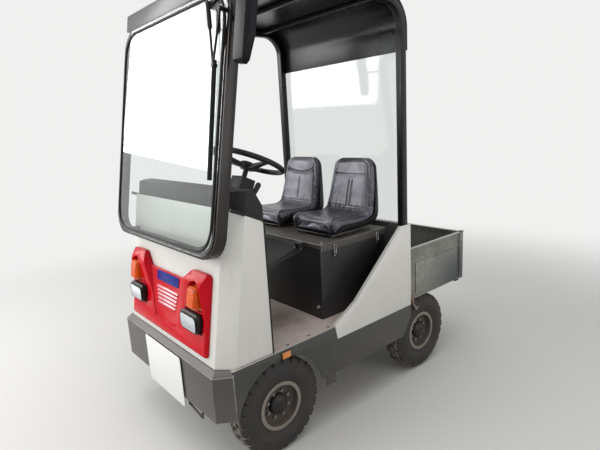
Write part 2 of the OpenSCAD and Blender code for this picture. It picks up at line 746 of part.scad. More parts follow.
module roof_skin() color("black") place() {
    translate([0, roof_half, 0]) rotate([90, 0, 0]) linear_extrude(2 * roof_half) difference() {
        roof_profile(roof_t);
        roof_profile(0);
        translate([0, -1]) square([nose_s, header_z + 1]);
    }
    difference() {
        on_screen() translate([-screen_depth, 1 - roof_half, screen_len])
            cube([screen_depth, 2 * roof_half - 2, header_len]);
        block([0, -roof_half, rail_top_z + roof_t / 2], [nose_s, roof_half, rail_top_z + 2 * header_len]);
    }
}
module rear_window() color("lightblue") place()
    block([pillar_s - glass_t - 1, -roof_half + 6, panel_top_z], [pillar_s - 1, roof_half - 6, header_z]);

// Tailgate hinge: barrels on the bed between which the gate's own barrels turn
gate_hinge_s = bed_rear - 3;
gate_hinge_z = floor_low + 2;
gate_hinge_r = 7;
gate_rows = [-300, 300];
// Load bed: floor and bulkhead
module load_bed() color("darkgray") place() {
    for (y = gate_rows, side = [-1, 1]) translate([gate_hinge_s, y + side * 32, gate_hinge_z]) {
        rotate([90, 0, 0]) cylinder(h = 22, r = gate_hinge_r, center = true);
        translate([0, -11, floor_low + eps - gate_hinge_z]) cube([bed_t + 12, 22, 6]);
    }
    block([bed_rear + bed_t + 2, bed_t - half_w, floor_low], [bulkhead_s, half_w - bed_t, floor_z]);
    block([bulkhead_s, -skin_inner + eps, floor_low], [bulkhead_s + 13, skin_inner - eps, panel_top_z]);
}
// Flat tie hook under each bed side's front post, as points counted from the post's lower front corner
hook_shape = [
    [-6, 14], [-24, 14], [-27, -22], [-54, -62], [-63, -50], [-70, -57], [-55, -76], [-44, -70], [-16, -26]
];
// One bed side: corner posts, sheet, pressed panel and a folded top lip
module bed_sides() color("silver") place() both_sides() {
    side_plate(half_w - 4, half_w + 3, [for (p = hook_shape) [bulkhead_s + p.x, bed_low_z + p.y]]);
    block([bed_rear, half_w - bed_t, bed_low_z], [bulkhead_s - eps, half_w - bed_t + 6, bed_top_z]);
    block([bed_rear, half_w - bed_t, bed_top_z - 8], [bulkhead_s - eps, half_w, bed_top_z]);
    block([bed_rear, half_w - bed_t, bed_low_z], [bulkhead_s - eps, half_w - 6, bed_low_z + 10]);
    for (s = [bed_rear, bulkhead_s - 36])
        block([s, half_w - bed_t, bed_low_z], [s + 35.5, half_w - 2, bed_top_z]);
    block([bed_rear + 60, half_w - bed_t, bed_low_z + 30], [bulkhead_s - 60, half_w - 8, bed_top_z - 100]);
}
gate_low = floor_z + 2;
gate_gap = 5;
gate_half = half_w - bed_t - gate_gap;
module tailgate() color("silver") place() {
    block([bed_rear, -gate_half, gate_low], [bed_rear + 6, gate_half, bed_top_z]);
    block([bed_rear, -gate_half, bed_top_z - 8], [bed_rear + bed_t, gate_half, bed_top_z]);
    block([bed_rear, -gate_half, gate_low], [bed_rear + bed_t, gate_half, gate_low + 10]);
    both_sides() block([bed_rear, gate_half - 49, gate_low], [bed_rear + bed_t, gate_half - 9, bed_top_z]);
    for (y = gate_rows) translate([gate_hinge_s, y, gate_hinge_z]) {
        rotate([90, 0, 0]) cylinder(h = 41, r = gate_hinge_r, center = true);
        translate([-3, -20.5, 0]) cube([9, 41, gate_low - gate_hinge_z + 20]);
    }
}

rear_lamp_w = 100;
rear_lamp_h = 44;
rear_lamp_y = half_w - 94;
rear_lamp_t = 24;
module rear_lamps() color("red") place() both_sides()
    translate([bed_rear + 7 - rear_lamp_t, rear_lamp_y, floor_low - 8 - rear_lamp_h / 2]) rotate([90, 0, 90])
        linear_extrude(rear_lamp_t) round_rect(rear_lamp_w, rear_lamp_h, 9);

// Mirrors on the windscreen frame, leaning with it: the driver's one set out, the other one folded back
mirror_reach = screen_half + mirror_out;
mirror_outline = [
    // [distance outwards, height], tapering to its lower end
    [-mirror_w / 2, 26], [-mirror_w / 2 + 12, 5], [4, 0], [22, 12], [mirror_w / 2, 96],
    [mirror_w / 2, mirror_h - 18], [mirror_w / 2 - 14, mirror_h], [14 - mirror_w / 2, mirror_h],
    [-mirror_w / 2, mirror_h - 18]
];
mirror_side = [
    // [depth, height], domed towards the front
    [0, 0], [mirror_d * 0.45, 0], [mirror_d * 0.85, 14], [mirror_d, 40], [mirror_d, mirror_h - 34],
    [mirror_d * 0.85, mirror_h - 10], [mirror_d * 0.5, mirror_h], [0, mirror_h]
];
mirror_plan = [
    // [depth, distance outwards]
    [0, -mirror_w / 2], [mirror_d * 0.6, -mirror_w / 2], [mirror_d, 16 - mirror_w / 2],
    [mirror_d, mirror_w / 2 - 16], [mirror_d * 0.6, mirror_w / 2], [0, mirror_w / 2]
];
module mirror_head() intersection() {
    rotate([90, 0, 90]) linear_extrude(mirror_d) polygon(mirror_outline);
    side_plate(-mirror_w, mirror_w, mirror_side);
    linear_extrude(mirror_h) polygon(mirror_plan);
}
module mirrors() color("black") place() on_screen() {
    arm_up = mirror_low + mirror_h * 0.55;
    arm_back = -screen_depth / 2;
    head_y = mirror_reach - mirror_w / 2;
    fold_y = mirror_reach - mirror_d;
    fold_back = arm_back - mirror_w;
    translate([-7 - mirror_d / 2, head_y, mirror_low]) mirror_head();
    rod([arm_back, screen_half + 8, arm_up], [-7, head_y - mirror_w / 2 + 10, arm_up], 8);
    both_sides() translate([arm_back, screen_half, arm_up]) rotate([-90, 0, 0]) cylinder(h = 12, r = 13);
    translate([fold_back, -fold_y, mirror_low]) rotate([0, 0, -90]) mirror_head();
    rod([arm_back, -screen_half - 8, arm_up], [fold_back + mirror_w / 2 - 10, -fold_y - 8, arm_up], 8);
}

// Leaf spring pack between a frame rail and an axle
leaf_rows = [
    // [half length, drop of the leaf]
    [270, 0],
    [190, 8],
    [110, 16]
];
leaf_r = 900;
leaf_w = 50;
eye_s = 262;
eye_rise = leaf_r - sqrt(leaf_r * leaf_r - eye_s * eye_s);
spring_top = tyre_r + beam_side / 2 + 30;
module leaf_pack(s) translate([s, rail_y, spring_top]) {
    for (l = leaf_rows) translate([0, 0, leaf_r - 8]) rotate([90, 0, 0])
        rotate([0, 0, -90 - asin(l[0] / leaf_r)]) rotate_extrude(angle = 2 * asin(l[0] / leaf_r), $fn = 96)
            translate([leaf_r - 4 + l[1] - eps, -leaf_w / 2]) square([8 + eps, leaf_w]);
    translate([-30, -30, -34]) cube([60, 60, 34 - 18]);
    for (x = [-1, 1]) translate([x * eye_s - 12, -20, eye_rise - 18])
        cube([24, 40, frame_low - spring_top - eye_rise + 18]);
}
module front_axle() color("dimgray") place() {
    difference() {
        union() {
            translate([wheelbase, 0, tyre_r])
                cube([beam_side, 2 * kingpin_y - 20, beam_side], center = true);
            both_sides() translate([wheelbase, kingpin_y, tyre_r])
                cylinder(h = axle_boss_h, r = axle_boss_r, center = true);
        }
        both_sides() translate([wheelbase, kingpin_y, tyre_r])
            cylinder(h = axle_boss_h + 2, r = kingpin_r + run_gap, center = true);
    }
    both_sides() leaf_pack(wheelbase);
}
// Drive on the rear axle: gearbox ball and the motor ahead of it
gear_y = 40;
gear_r = 96;
motor_r = 78;
motor_len = 330;
module rear_axle() color("dimgray") place() {
    inner = wheel_axis_y - rim_w / 2 - 8;
    translate([0, 0, tyre_r]) rotate([90, 0, 0]) {
        cylinder(h = 2 * inner, r = 34, center = true);
        cylinder(h = 2 * (wheel_axis_y + 14), r = spindle_r, center = true);
    }
    translate([0, gear_y, tyre_r]) sphere(gear_r);
    translate([0, gear_y, tyre_r]) rotate([0, 84, 0]) cylinder(h = motor_len, r = motor_r);
    both_sides() leaf_pack(0);
}

// Steering knuckle: fork on the kingpin, spindle for the wheel and arm to the track rod
fork_gap = 1;
fork_t = 12;
arm_w = 20;
fork_low = axle_boss_h / 2 + fork_gap + fork_t;
module knuckle() {
    for (z = [-1, 1]) translate([-20, -20, z * (axle_boss_h / 2 + fork_gap + fork_t / 2) - fork_t / 2])
        cube([40, 58, fork_t]);
    cylinder(h = axle_boss_h + 2 * fork_gap + 2, r = kingpin_r, center = true);
    translate([-22, axle_boss_r + 3, -fork_low]) cube([44, 17, 2 * fork_low]);
    rotate([-90, 0, 0]) translate([0, 0, axle_boss_r + 4])
        cylinder(h = kingpin_inset + 10 - axle_boss_r, r = spindle_r);
    difference() {
        translate([-steer_arm - 12, -arm_w / 2, -fork_low]) cube([steer_arm, arm_w, fork_t]);
        translate([-steer_arm, 0, -60]) cylinder(h = 60, r = 7 + run_gap);
    }
}
module knuckle_left() color("dimgray") place() translate([wheelbase, kingpin_y, tyre_r]) knuckle();
module knuckle_right() color("dimgray") place() mirror([0, 1, 0])
    translate([wheelbase, kingpin_y, tyre_r]) knuckle();
rod_z = tyre_r - fork_low - 11;
module track_rod() color("dimgray") place() translate([wheelbase - steer_arm, 0, rod_z]) {
    rotate([90, 0, 0]) cylinder(h = 2 * kingpin_y - 16, r = track_rod_r, center = true);
    both_sides() translate([0, kingpin_y, 0]) {
        cylinder(h = 20, r = 12, center = true);
        cylinder(h = 10 + fork_t + 1, r = 7);
    }
}

// Wheel rim in its own frame: axis along Y, outer side towards +Y
rim_half = rim_w / 2;
disc_y = rim_half - disc_inset;
rim_profile = [
    // [radius, distance outboard]
    [rim_barrel_r, -rim_half], [rim_flange_r, -rim_half], [rim_flange_r, -rim_half + rim_t],
    [rim_barrel_r + 2, -rim_half + rim_t], [rim_barrel_r, 0], [rim_barrel_r + 2, rim_half - rim_t],
    [rim_flange_r, rim_half - rim_t], [rim_flange_r, rim_half], [rim_barrel_r, rim_half],
    [rim_barrel_r - rim_t, 2], [rim_barrel_r - rim_t, -2]
];
hub_profile = [
    [hub_r, disc_y - 18], [hub_r, disc_y + 14], [hub_r - 8, disc_y + 30], [hub_r - 12, disc_y + 36],
    [0, disc_y + 36], [0, disc_y + 22], [spindle_r + run_gap, disc_y + 22], [spindle_r + run_gap, disc_y - 18]
];
module wheel_rim() rotate([-90, 0, 0]) {
    rotate_extrude() polygon(rim_profile);
    rotate_extrude() polygon([
        [hub_r - 1, disc_y], [rim_barrel_r - 2, disc_y + 6],
        [rim_barrel_r - 2, disc_y + 6 + rim_t], [hub_r - 1, disc_y + rim_t]
    ]);
    rotate_extrude() polygon(hub_profile);
}
// Tyre: tread, shoulders, bulged walls and beads, open towards the rim
tyre_half = tyre_w / 2;
bead_r = rim_barrel_r + 3;
tyre_profile = [
    // [radius, distance outboard]
    [bead_r, rim_half - rim_t - eps], [rim_flange_r, rim_half - rim_t - eps], [rim_flange_r + 4, rim_half - 2],
    [tyre_r - 78, tyre_half - 2], [tyre_r - 52, tyre_half], [tyre_r - 24, tyre_half - 5],
    [tyre_r - 8, tyre_half - 13], [tyre_r, tyre_half - 24]
];
tyre_inner = [
    [tyre_r - 20, tyre_half - 34], [tyre_r - 52, tyre_half - 13], [rim_flange_r, rim_half - rim_t - 15],
    [bead_r, rim_half - rim_t - 15]
];
function flip(points) = [for (i = [len(points) - 1:-1:0]) [points[i].x, -points[i].y]];
// Gaps between the shoulder lugs
lug_count = 26;
lug_gap = 18;
lug_depth = 8;
lug_inner = 19;
lug_skew = 9;
module tyre() rotate([-90, 0, 0]) difference() {
    rotate_extrude($fn = lug_count)
        polygon(concat(tyre_profile, flip(tyre_profile), flip(tyre_inner), tyre_inner));
    for (i = [0:lug_count - 1], side = [0, 1])
        rotate([0, 0, (i + side / 2) * 360 / lug_count]) mirror([0, 0, side])
            translate([tyre_r - lug_depth, 0, lug_inner]) rotate([lug_skew, 0, 0])
                translate([0, -lug_gap / 2, 0]) cube([lug_depth * 2, lug_gap, tyre_half]);
}

wheel_rows = [
    // [station, side]
    [wheelbase, 1],
    [wheelbase, -1],
    [0, 1],
    [0, -1]
];
module at_wheel(i) {
    row = wheel_rows[i];
    place() mirror([0, row[1] < 0 ? 1 : 0, 0]) translate([row[0], wheel_axis_y, tyre_r]) children();
}
module rim_front_left() color("silver") at_wheel(0) wheel_rim();
module rim_front_right() color("silver") at_wheel(1) wheel_rim();
module rim_rear_left() color("silver") at_wheel(2) wheel_rim();
module rim_rear_right() color("silver") at_wheel(3) wheel_rim();
module tyre_front_left() color("black") at_wheel(0) tyre();
module tyre_front_right() color("black") at_wheel(1) tyre();
module tyre_rear_left() color("black") at_wheel(2) tyre();
module tyre_rear_right() color("black") at_wheel(3) tyre();

// Towing jaw: back plate, two jaw plates with the pin's hole, and a rounded throat
module tow_coupling() color("dimgray") place() difference() {
    union() {
        block([bed_rear - 5, -70, tow_z - 70], [bed_rear + 7, 70, floor_low - 8]);
        for (z = [-1, 1]) translate([0, 0, tow_z + z * (tow_gap + tow_plate) / 2 - tow_plate / 2])
            linear_extrude(tow_plate) union() {
                translate([tow_pin_s, 0]) circle(tow_half);
                translate([tow_pin_s, -tow_half]) square([bed_rear - tow_pin_s - 4, 2 * tow_half]);
            }
        both_sides() block([bed_rear - 24, tow_half - 6, tow_z - tow_gap / 2 - 1],
                           [bed_rear - 4, tow_half, tow_z + tow_gap / 2 + 1]);
    }
    translate([tow_pin_s, 0, tow_z - 60]) cylinder(h = 120, r = tow_pin_r);
}

// Steering wheel: rim, three spokes and a hub over the column's end
module steering_wheel() color("black") place() on_column() {
    rotate_extrude($fn = 64) translate([wheel_r, 0]) circle(wheel_rim_r, $fn = 20);
    translate([0, 0, -43]) cylinder(h = 30, r = 30);
    for (a = [90, 210, 330]) rotate([0, 0, a]) rod([0, 0, -26], [wheel_r - 2, 0, 0], 9);
}

chassis_frame();
front_bumper();
side_skirts();
floor_plate();
front_apron();
front_fascia();
headlamps();
amber_lamps();
number_plate();
windscreen_frame();
windscreen_glass();
wiper();
dashboard();
steering_column();
pedals();
side_panels();
battery_box();
battery_pack();
roof_frame();
roof_skin();
rear_window();
load_bed();
bed_sides();
rear_lamps();
mirrors();
front_axle();
rear_axle();
tow_coupling();
tailgate();
seat_lid();
seat_shells();
seat_left();
seat_right();
steering_wheel();
knuckle_left();
knuckle_right();
track_rod();
rim_front_left();
rim_front_right();
rim_rear_left();
rim_rear_right();
tyre_front_left();
tyre_front_right();
tyre_rear_left();
tyre_rear_right();
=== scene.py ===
# Airport baggage tug: finishes, seats, tyres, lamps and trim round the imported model, in a plain studio
import json
import math
from contextlib import contextmanager
import bmesh
import bpy
import numpy as np
from mathutils import Matrix, Vector


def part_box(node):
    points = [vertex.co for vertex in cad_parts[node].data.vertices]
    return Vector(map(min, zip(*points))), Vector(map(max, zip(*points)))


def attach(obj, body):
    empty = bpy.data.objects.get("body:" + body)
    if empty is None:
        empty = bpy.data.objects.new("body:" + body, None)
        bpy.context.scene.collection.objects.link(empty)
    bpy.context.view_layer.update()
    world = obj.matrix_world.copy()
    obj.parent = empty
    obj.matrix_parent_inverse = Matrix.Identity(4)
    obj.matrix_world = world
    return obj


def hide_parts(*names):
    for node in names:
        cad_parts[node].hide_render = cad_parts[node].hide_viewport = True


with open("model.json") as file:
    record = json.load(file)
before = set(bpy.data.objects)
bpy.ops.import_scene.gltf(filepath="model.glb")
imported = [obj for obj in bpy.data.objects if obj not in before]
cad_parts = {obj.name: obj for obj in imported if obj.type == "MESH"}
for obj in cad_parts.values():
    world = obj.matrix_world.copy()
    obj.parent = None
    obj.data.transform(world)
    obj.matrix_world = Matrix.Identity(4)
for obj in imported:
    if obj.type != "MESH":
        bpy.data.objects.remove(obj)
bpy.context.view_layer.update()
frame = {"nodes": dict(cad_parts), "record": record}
cad = frame["nodes"]
print("frame loaded:", len(cad), "nodes")


# Colours, as read off a surface in plain light, 0 to 255
def tone(red, green, blue):
    def linear(c):
        c = c / 255
        return c / 12.92 if c <= 0.04045 else ((c + 0.055) / 1.055) ** 2.4
    return (linear(red), linear(green), linear(blue), 1.0)


# Small helpers for shader trees
def addNode(tree, kind, **settings):
    made = tree.nodes.new(kind)
    for key, value in settings.items():
        setattr(made, key, value)
    return made


def feed(tree, socket, value):
    if isinstance(value, bpy.types.NodeSocket):
        tree.links.new(value, socket)
    elif value is not None:
        socket.default_value = value


def addNodeWith(tree, kind, *values, **settings):
    # A node with its first inputs fed in their order
    made = addNode(tree, kind, **settings)
    for socket, value in zip(made.inputs, values):
        feed(tree, socket, value)
    return made


def wireNode(tree, kind, links, **settings):
    # A node with some inputs fed by their labels
    made = addNode(tree, kind, **settings)
    for label, value in links.items():
        feed(tree, made.inputs[label], value)
    return made


def maths(tree, operation, *values, clamp=False):
    return addNodeWith(tree, "ShaderNodeMath", *values, operation=operation, use_clamp=clamp).outputs[0]


def times(tree, *values, clamp=False):
    return maths(tree, "MULTIPLY", *values, clamp=clamp)


def plus(tree, *values, clamp=False):
    return maths(tree, "ADD", *values, clamp=clamp)


def blendColour(tree, factor, first, second):
    made = addNode(tree, "ShaderNodeMix", data_type="RGBA", clamp_factor=True)
    feed(tree, made.inputs[0], factor)
    feed(tree, made.inputs[6], first)
    feed(tree, made.inputs[7], second)
    return made.outputs[2]


def remap(tree, value, low, high, toLow=0.0, toHigh=1.0):
    numbers = (value, low, high, toLow, toHigh)
    return addNodeWith(tree, "ShaderNodeMapRange", *numbers, interpolation_type="SMOOTHSTEP").outputs[0]


def noiseAt(tree, where, scale, detail=4.0, rough=0.55, warp=0.0):
    given = {"Vector": where, "Scale": scale, "Detail": detail, "Roughness": rough, "Distortion": warp}
    return wireNode(tree, "ShaderNodeTexNoise", given).outputs["Fac"]


def patches(tree, where, scale, detail, rough, low, high, warp=0.0):
    # Soft edged patches: 0 below one level of the noise, 1 above the other
    return remap(tree, noiseAt(tree, where, scale, detail, rough, warp), low, high)


def tint(tree, colour, mask, share, over):
    return blendColour(tree, times(tree, mask, share), colour, over)


def bodySpot(tree, stretch=(1, 1, 1), turn=(0, 0, 0)):
    # A place on the part itself, stretched or turned for a slanting pattern
    where = addNode(tree, "ShaderNodeTexCoord").outputs["Object"]
    if stretch == (1, 1, 1) and turn == (0, 0, 0):
        return where
    return wireNode(tree, "ShaderNodeMapping", {
        "Vector": where, "Rotation": turn, "Scale": stretch}).outputs[0]


def axes(tree, vector):
    return addNodeWith(tree, "ShaderNodeSeparateXYZ", vector).outputs


# Shared shader effects, each built once as a node group
def effectGroup(name, inputs, outputs):
    tree = bpy.data.node_groups.new(name, "ShaderNodeTree")
    for label, kind, value in inputs:
        socket = tree.interface.new_socket(name=label, in_out="INPUT", socket_type=kind)
        socket.default_value = value
    for label, kind in outputs:
        tree.interface.new_socket(name=label, in_out="OUTPUT", socket_type=kind)
    return tree, addNode(tree, "NodeGroupInput").outputs, addNode(tree, "NodeGroupOutput").inputs


def effect(tree, group, **values):
    made = addNode(tree, "ShaderNodeGroup")
    made.node_tree = group
    for label, value in values.items():
        feed(tree, made.inputs[label.replace("_", " ")], value)
    return made.outputs


floatKind, colourKind = "NodeSocketFloat", "NodeSocketColor"


def makeEdgeWear():
    tree, given, out = effectGroup("edge wear", [("Reach", floatKind, 0.004), ("Patches", floatKind, 14.0),
                                                 ("Amount", floatKind, 0.5)], [("Mask", floatKind)])
    softened = wireNode(tree, "ShaderNodeBevel", {"Radius": given["Reach"]}, samples=4)
    face = addNode(tree, "ShaderNodeNewGeometry").outputs["Normal"]
    along = addNodeWith(tree, "ShaderNodeVectorMath", softened.outputs[0], face, operation="DOT_PRODUCT")
    edge = remap(tree, maths(tree, "SUBTRACT", 1.0, along.outputs["Value"]), 0.01, 0.12)
    patches = noiseAt(tree, bodySpot(tree), given["Patches"], 5.0, 0.65)
    fewest = maths(tree, "SUBTRACT", 0.78, times(tree, given["Amount"], 0.5))
    kept = remap(tree, patches, fewest, 0.8)
    feed(tree, out["Mask"], times(tree, edge, kept, clamp=True))
    return tree


def makeDustFilm():
    # Dust on what faces up and on what is low down
    tree, given, out = effectGroup("dust film", [
        ("Colour", colourKind, tone(90, 90, 90)), ("Dust", colourKind, tone(140, 130, 120)),
        ("Amount", floatKind, 0.4), ("Low", floatKind, 0.1), ("High", floatKind, 0.6)],
        [("Colour", colourKind), ("Mask", floatKind)])
    spot = bodySpot(tree)
    up = remap(tree, axes(tree, addNode(tree, "ShaderNodeNewGeometry").outputs["Normal"])["Z"], 0.35, 0.95)
    low = maths(tree, "SUBTRACT", 1.0, remap(tree, axes(tree, spot)["Z"], given["Low"], given["High"]))
    cloud = patches(tree, spot, 3.5, 6.0, 0.6, 0.3, 0.75)
    speck = patches(tree, spot, 90.0, 3.0, 0.7, 0.35, 0.8)
    where = plus(tree, times(tree, up, 0.8), times(tree, low, 0.6))
    grain = plus(tree, times(tree, cloud, 0.7), times(tree, speck, 0.45))
    mask = times(tree, times(tree, where, grain), given["Amount"], clamp=True)
    feed(tree, out["Mask"], mask)
    feed(tree, out["Colour"], blendColour(tree, mask, given["Colour"], given["Dust"]))
    return tree


def makeFineGrain():
    tree, given, out = effectGroup("fine grain", [("Scale", floatKind, 300.0), ("Waviness", floatKind, 0.3)],
                                   [("Height", floatKind), ("Shade", floatKind)])
    spot = bodySpot(tree)
    fine = noiseAt(tree, spot, given["Scale"], 3.0, 0.6)
    broad = noiseAt(tree, spot, 6.0, 2.0, 0.5)
    feed(tree, out["Height"], plus(tree, fine, times(tree, broad, given["Waviness"])))
    feed(tree, out["Shade"], maths(tree, "SUBTRACT", noiseAt(tree, spot, 2.2, 6.0, 0.62), 0.5))
    return tree


scuffRuns = (((0.3, 0.2, 0.6), (9, 160, 60)), ((1.1, 0.5, -0.7), (150, 8, 90)), ((0, 1.2, 0.1), (90, 70, 6)))


def makeScuffs():
    # Thin scratches that run three ways, each given as a turn and a stretch
    tree, given, out = effectGroup("scuffs", [("Scale", floatKind, 1.0), ("Amount", floatKind, 0.4)],
                                   [("Mask", floatKind)])
    rows = []
    for turn, stretch in scuffRuns:
        placed = addNodeWith(tree, "ShaderNodeVectorMath", bodySpot(tree, stretch, turn), operation="SCALE")
        feed(tree, placed.inputs["Scale"], given["Scale"])
        rows.append(patches(tree, placed.outputs[0], 1.0, 2.0, 0.5, 0.70, 0.76))
    where = patches(tree, bodySpot(tree), 4.0, 4.0, 0.6, 0.42, 0.65)
    most = maths(tree, "MAXIMUM", maths(tree, "MAXIMUM", rows[0], rows[1]), rows[2])
    feed(tree, out["Mask"], times(tree, times(tree, most, where), given["Amount"], clamp=True))
    return tree


def makeRunMarks():
    # Pale streaks where water has run down
    tree, given, out = effectGroup("run marks", [("Spacing", floatKind, 22.0), ("Amount", floatKind, 0.3)],
                                   [("Mask", floatKind)])
    placed = addNodeWith(tree, "ShaderNodeVectorMath", bodySpot(tree, (1, 1, 0.05)), operation="SCALE")
    feed(tree, placed.inputs["Scale"], given["Spacing"])
    lines = patches(tree, placed.outputs[0], 1.0, 5.0, 0.7, 0.45, 0.75)
    faded = patches(tree, bodySpot(tree), 5.0, 3.0, 0.5, 0.3, 0.7)
    feed(tree, out["Mask"], times(tree, times(tree, lines, faded), given["Amount"], clamp=True))
    return tree


edgeWear = makeEdgeWear()
dustFilm = makeDustFilm()
fineGrain = makeFineGrain()
scuffs = makeScuffs()
runMarks = makeRunMarks()


# Materials
def startMaterial(name):
    made = bpy.data.materials.new(name)
    made.use_nodes = True
    tree = made.node_tree
    return made, tree, tree.nodes["Principled BSDF"].inputs


def addBump(tree, shader, height, strength, distance=0.001):
    made = wireNode(tree, "ShaderNodeBump", {"Strength": strength, "Distance": distance, "Height": height})
    feed(tree, shader["Normal"], made.outputs[0])


def addDust(tree, shader, colour, look):
    # Lays the dust film over a colour and says where it lies
    film = effect(tree, dustFilm, Colour=colour, Dust=look.get("dustColour", tone(142, 133, 124)),
                  Amount=look.get("dust", 0.35), Low=look.get("dustLow", 0.15),
                  High=look.get("dustHigh", 0.6))
    feed(tree, shader["Base Color"], film["Colour"])
    return film["Mask"]


def setInputs(shader, **values):
    for label, value in values.items():
        shader[label.replace("_", " ")].default_value = value


def coatedSheet(name, look):
    made, tree, shader = startMaterial(name)
    grain = effect(tree, fineGrain, Scale=look.get("grain", 350.0), Waviness=look.get("waviness", 0.3))
    marks = effect(tree, scuffs, Scale=look.get("scuffScale", 1.0), Amount=look.get("scuffs", 0.3))["Mask"]
    shift = plus(tree, 0.5, times(tree, grain["Shade"], look.get("mottle", 1.0)), clamp=True)
    colour = blendColour(tree, shift, look["dark"], look["light"])
    colour = blendColour(tree, marks, colour, look.get("scuffColour", look["worn"]))
    worn = effect(tree, edgeWear, Reach=look.get("wearReach", 0.003), Patches=look.get("wearPatches", 14.0),
                  Amount=look.get("wear", 0.5))["Mask"]
    colour = blendColour(tree, worn, colour, look["worn"])
    if "runs" in look:
        runs = effect(tree, runMarks, Spacing=22.0, Amount=look["runs"])["Mask"]
        colour = blendColour(tree, runs, colour, look["runColour"])
    film = addDust(tree, shader, colour, look)
    rough = plus(tree, look["rough"], times(tree, grain["Shade"], 0.18))
    feed(tree, shader["Roughness"], plus(tree, rough, times(tree, film, 0.35), clamp=True))
    setInputs(shader, Metallic=look.get("metal", 0.0), Specular_IOR_Level=look.get("specular", 0.5),
              Coat_Weight=look.get("coat", 0.0), Coat_Roughness=0.12)
    height = maths(tree, "SUBTRACT", grain["Height"], times(tree, worn, 0.6))
    addBump(tree, shader, height, look.get("bump", 0.12), look.get("bumpDepth", 0.0006))
    return made


panelWhite = coatedSheet("cream white panel paint", {
    "dark": tone(206, 204, 198), "light": tone(230, 229, 224), "worn": tone(120, 116, 110), "wear": 0.15,
    "scuffs": 0.22, "scuffColour": tone(150, 146, 140), "rough": 0.36, "coat": 0.15, "dust": 0.30,
    "dustColour": tone(170, 162, 152), "dustLow": 0.45, "dustHigh": 0.75, "runs": 0.22,
    "runColour": tone(176, 168, 156), "bump": 0.08})
chassisGrey = coatedSheet("anthracite chassis paint", {
    "dark": tone(46, 46, 45), "light": tone(66, 65, 62), "worn": tone(168, 166, 160), "wear": 0.62,
    "wearReach": 0.0035, "scuffs": 0.35, "scuffColour": tone(112, 108, 103), "rough": 0.42, "dust": 0.45,
    "dustLow": 0.2, "dustHigh": 0.5, "runs": 0.18, "runColour": tone(108, 102, 95)})
# The bumper's pale worn edges are laid thick and wide: worn paint and also a painted highlight along its top
# edge
bumperGrey = coatedSheet("anthracite bumper paint", {
    "dark": tone(60, 58, 56), "light": tone(82, 79, 76), "worn": tone(190, 186, 178), "wear": 0.95,
    "wearReach": 0.006, "wearPatches": 9.0, "scuffs": 0.4, "scuffColour": tone(122, 117, 110), "rough": 0.42,
    "dust": 0.5, "dustLow": 0.2, "dustHigh": 0.5, "runs": 0.18, "runColour": tone(112, 106, 99)})
frameGrey = coatedSheet("frame underseal", {
    "dark": tone(38, 37, 36), "light": tone(58, 56, 54), "worn": tone(96, 84, 74), "wear": 0.45,
    "rough": 0.62, "scuffs": 0.2, "dust": 0.7, "dustColour": tone(104, 92, 80), "bump": 0.3, "grain": 160.0})
boxBlack = coatedSheet("black box paint", {
    "dark": tone(24, 24, 26), "light": tone(40, 40, 41), "worn": tone(186, 184, 180), "wear": 0.55,
    "wearReach": 0.003, "scuffs": 0.4, "scuffColour": tone(78, 76, 74), "rough": 0.38, "dust": 0.25,
    "dustLow": 0.5, "dustHigh": 0.75, "specular": 0.35})
lidBlack = coatedSheet("dusty lid paint", {
    "dark": tone(52, 49, 46), "light": tone(80, 75, 70), "worn": tone(214, 212, 206), "wear": 0.9,
    "wearReach": 0.005, "scuffs": 0.5, "scuffColour": tone(108, 103, 96), "rough": 0.46, "dust": 0.38,
    "dustColour": tone(112, 104, 95)})
# Pale pink stands in for light on the red hoods' upper faces: a painted highlight; the red shows where worn
# or scuffed
louvreHighlightPink = coatedSheet("louvre hoods with painted highlight", {
    "dark": tone(214, 120, 130), "light": tone(240, 176, 182), "worn": tone(200, 40, 50), "wear": 0.3,
    "rough": 0.25, "scuffs": 0.2, "scuffColour": tone(196, 30, 44), "coat": 0.3, "dust": 0.1})
chippedEdge = coatedSheet("chipped lid edge", {
    "dark": tone(104, 100, 94), "light": tone(176, 172, 165), "worn": tone(226, 224, 218), "wear": 0.9,
    "wearReach": 0.006, "scuffs": 1.0, "scuffColour": tone(214, 211, 204), "rough": 0.44, "dust": 0.2})
tubeBlack = coatedSheet("black tube enamel", {
    "dark": tone(16, 16, 17), "light": tone(26, 26, 27), "worn": tone(96, 94, 92), "wear": 0.2,
    "rough": 0.28, "scuffs": 0.2, "scuffColour": tone(60, 60, 60), "specular": 0.3, "dust": 0.10,
    "bump": 0.05})
hoopBlack = coatedSheet("brown black hoop enamel", {
    "dark": tone(26, 22, 20), "light": tone(44, 37, 33), "worn": tone(128, 122, 116), "wear": 0.25,
    "rough": 0.22, "scuffs": 0.22, "scuffColour": tone(84, 76, 70), "specular": 0.35, "dust": 0.10,
    "bump": 0.04})
roofBlack = coatedSheet("roof skin", {
    "dark": tone(15, 15, 16), "light": tone(25, 25, 26), "worn": tone(90, 90, 90), "wear": 0.15,
    "rough": 0.26, "scuffs": 0.15, "specular": 0.3, "dust": 0.22, "bump": 0.06, "waviness": 1.5})
dashBlack = coatedSheet("moulded dash plastic", {
    "dark": tone(20, 20, 21), "light": tone(31, 31, 32), "worn": tone(92, 90, 88), "wear": 0.2,
    "rough": 0.55, "scuffs": 0.3, "scuffColour": tone(70, 68, 66), "specular": 0.3, "dust": 0.40,
    "bump": 0.5, "grain": 700.0})
axleIron = coatedSheet("axle iron", {
    "dark": tone(44, 40, 37), "light": tone(72, 64, 57), "worn": tone(112, 88, 68), "wear": 0.5,
    "rough": 0.68, "scuffs": 0.2, "metal": 0.25, "dust": 0.6, "dustColour": tone(112, 98, 84), "bump": 0.5,
    "grain": 140.0})
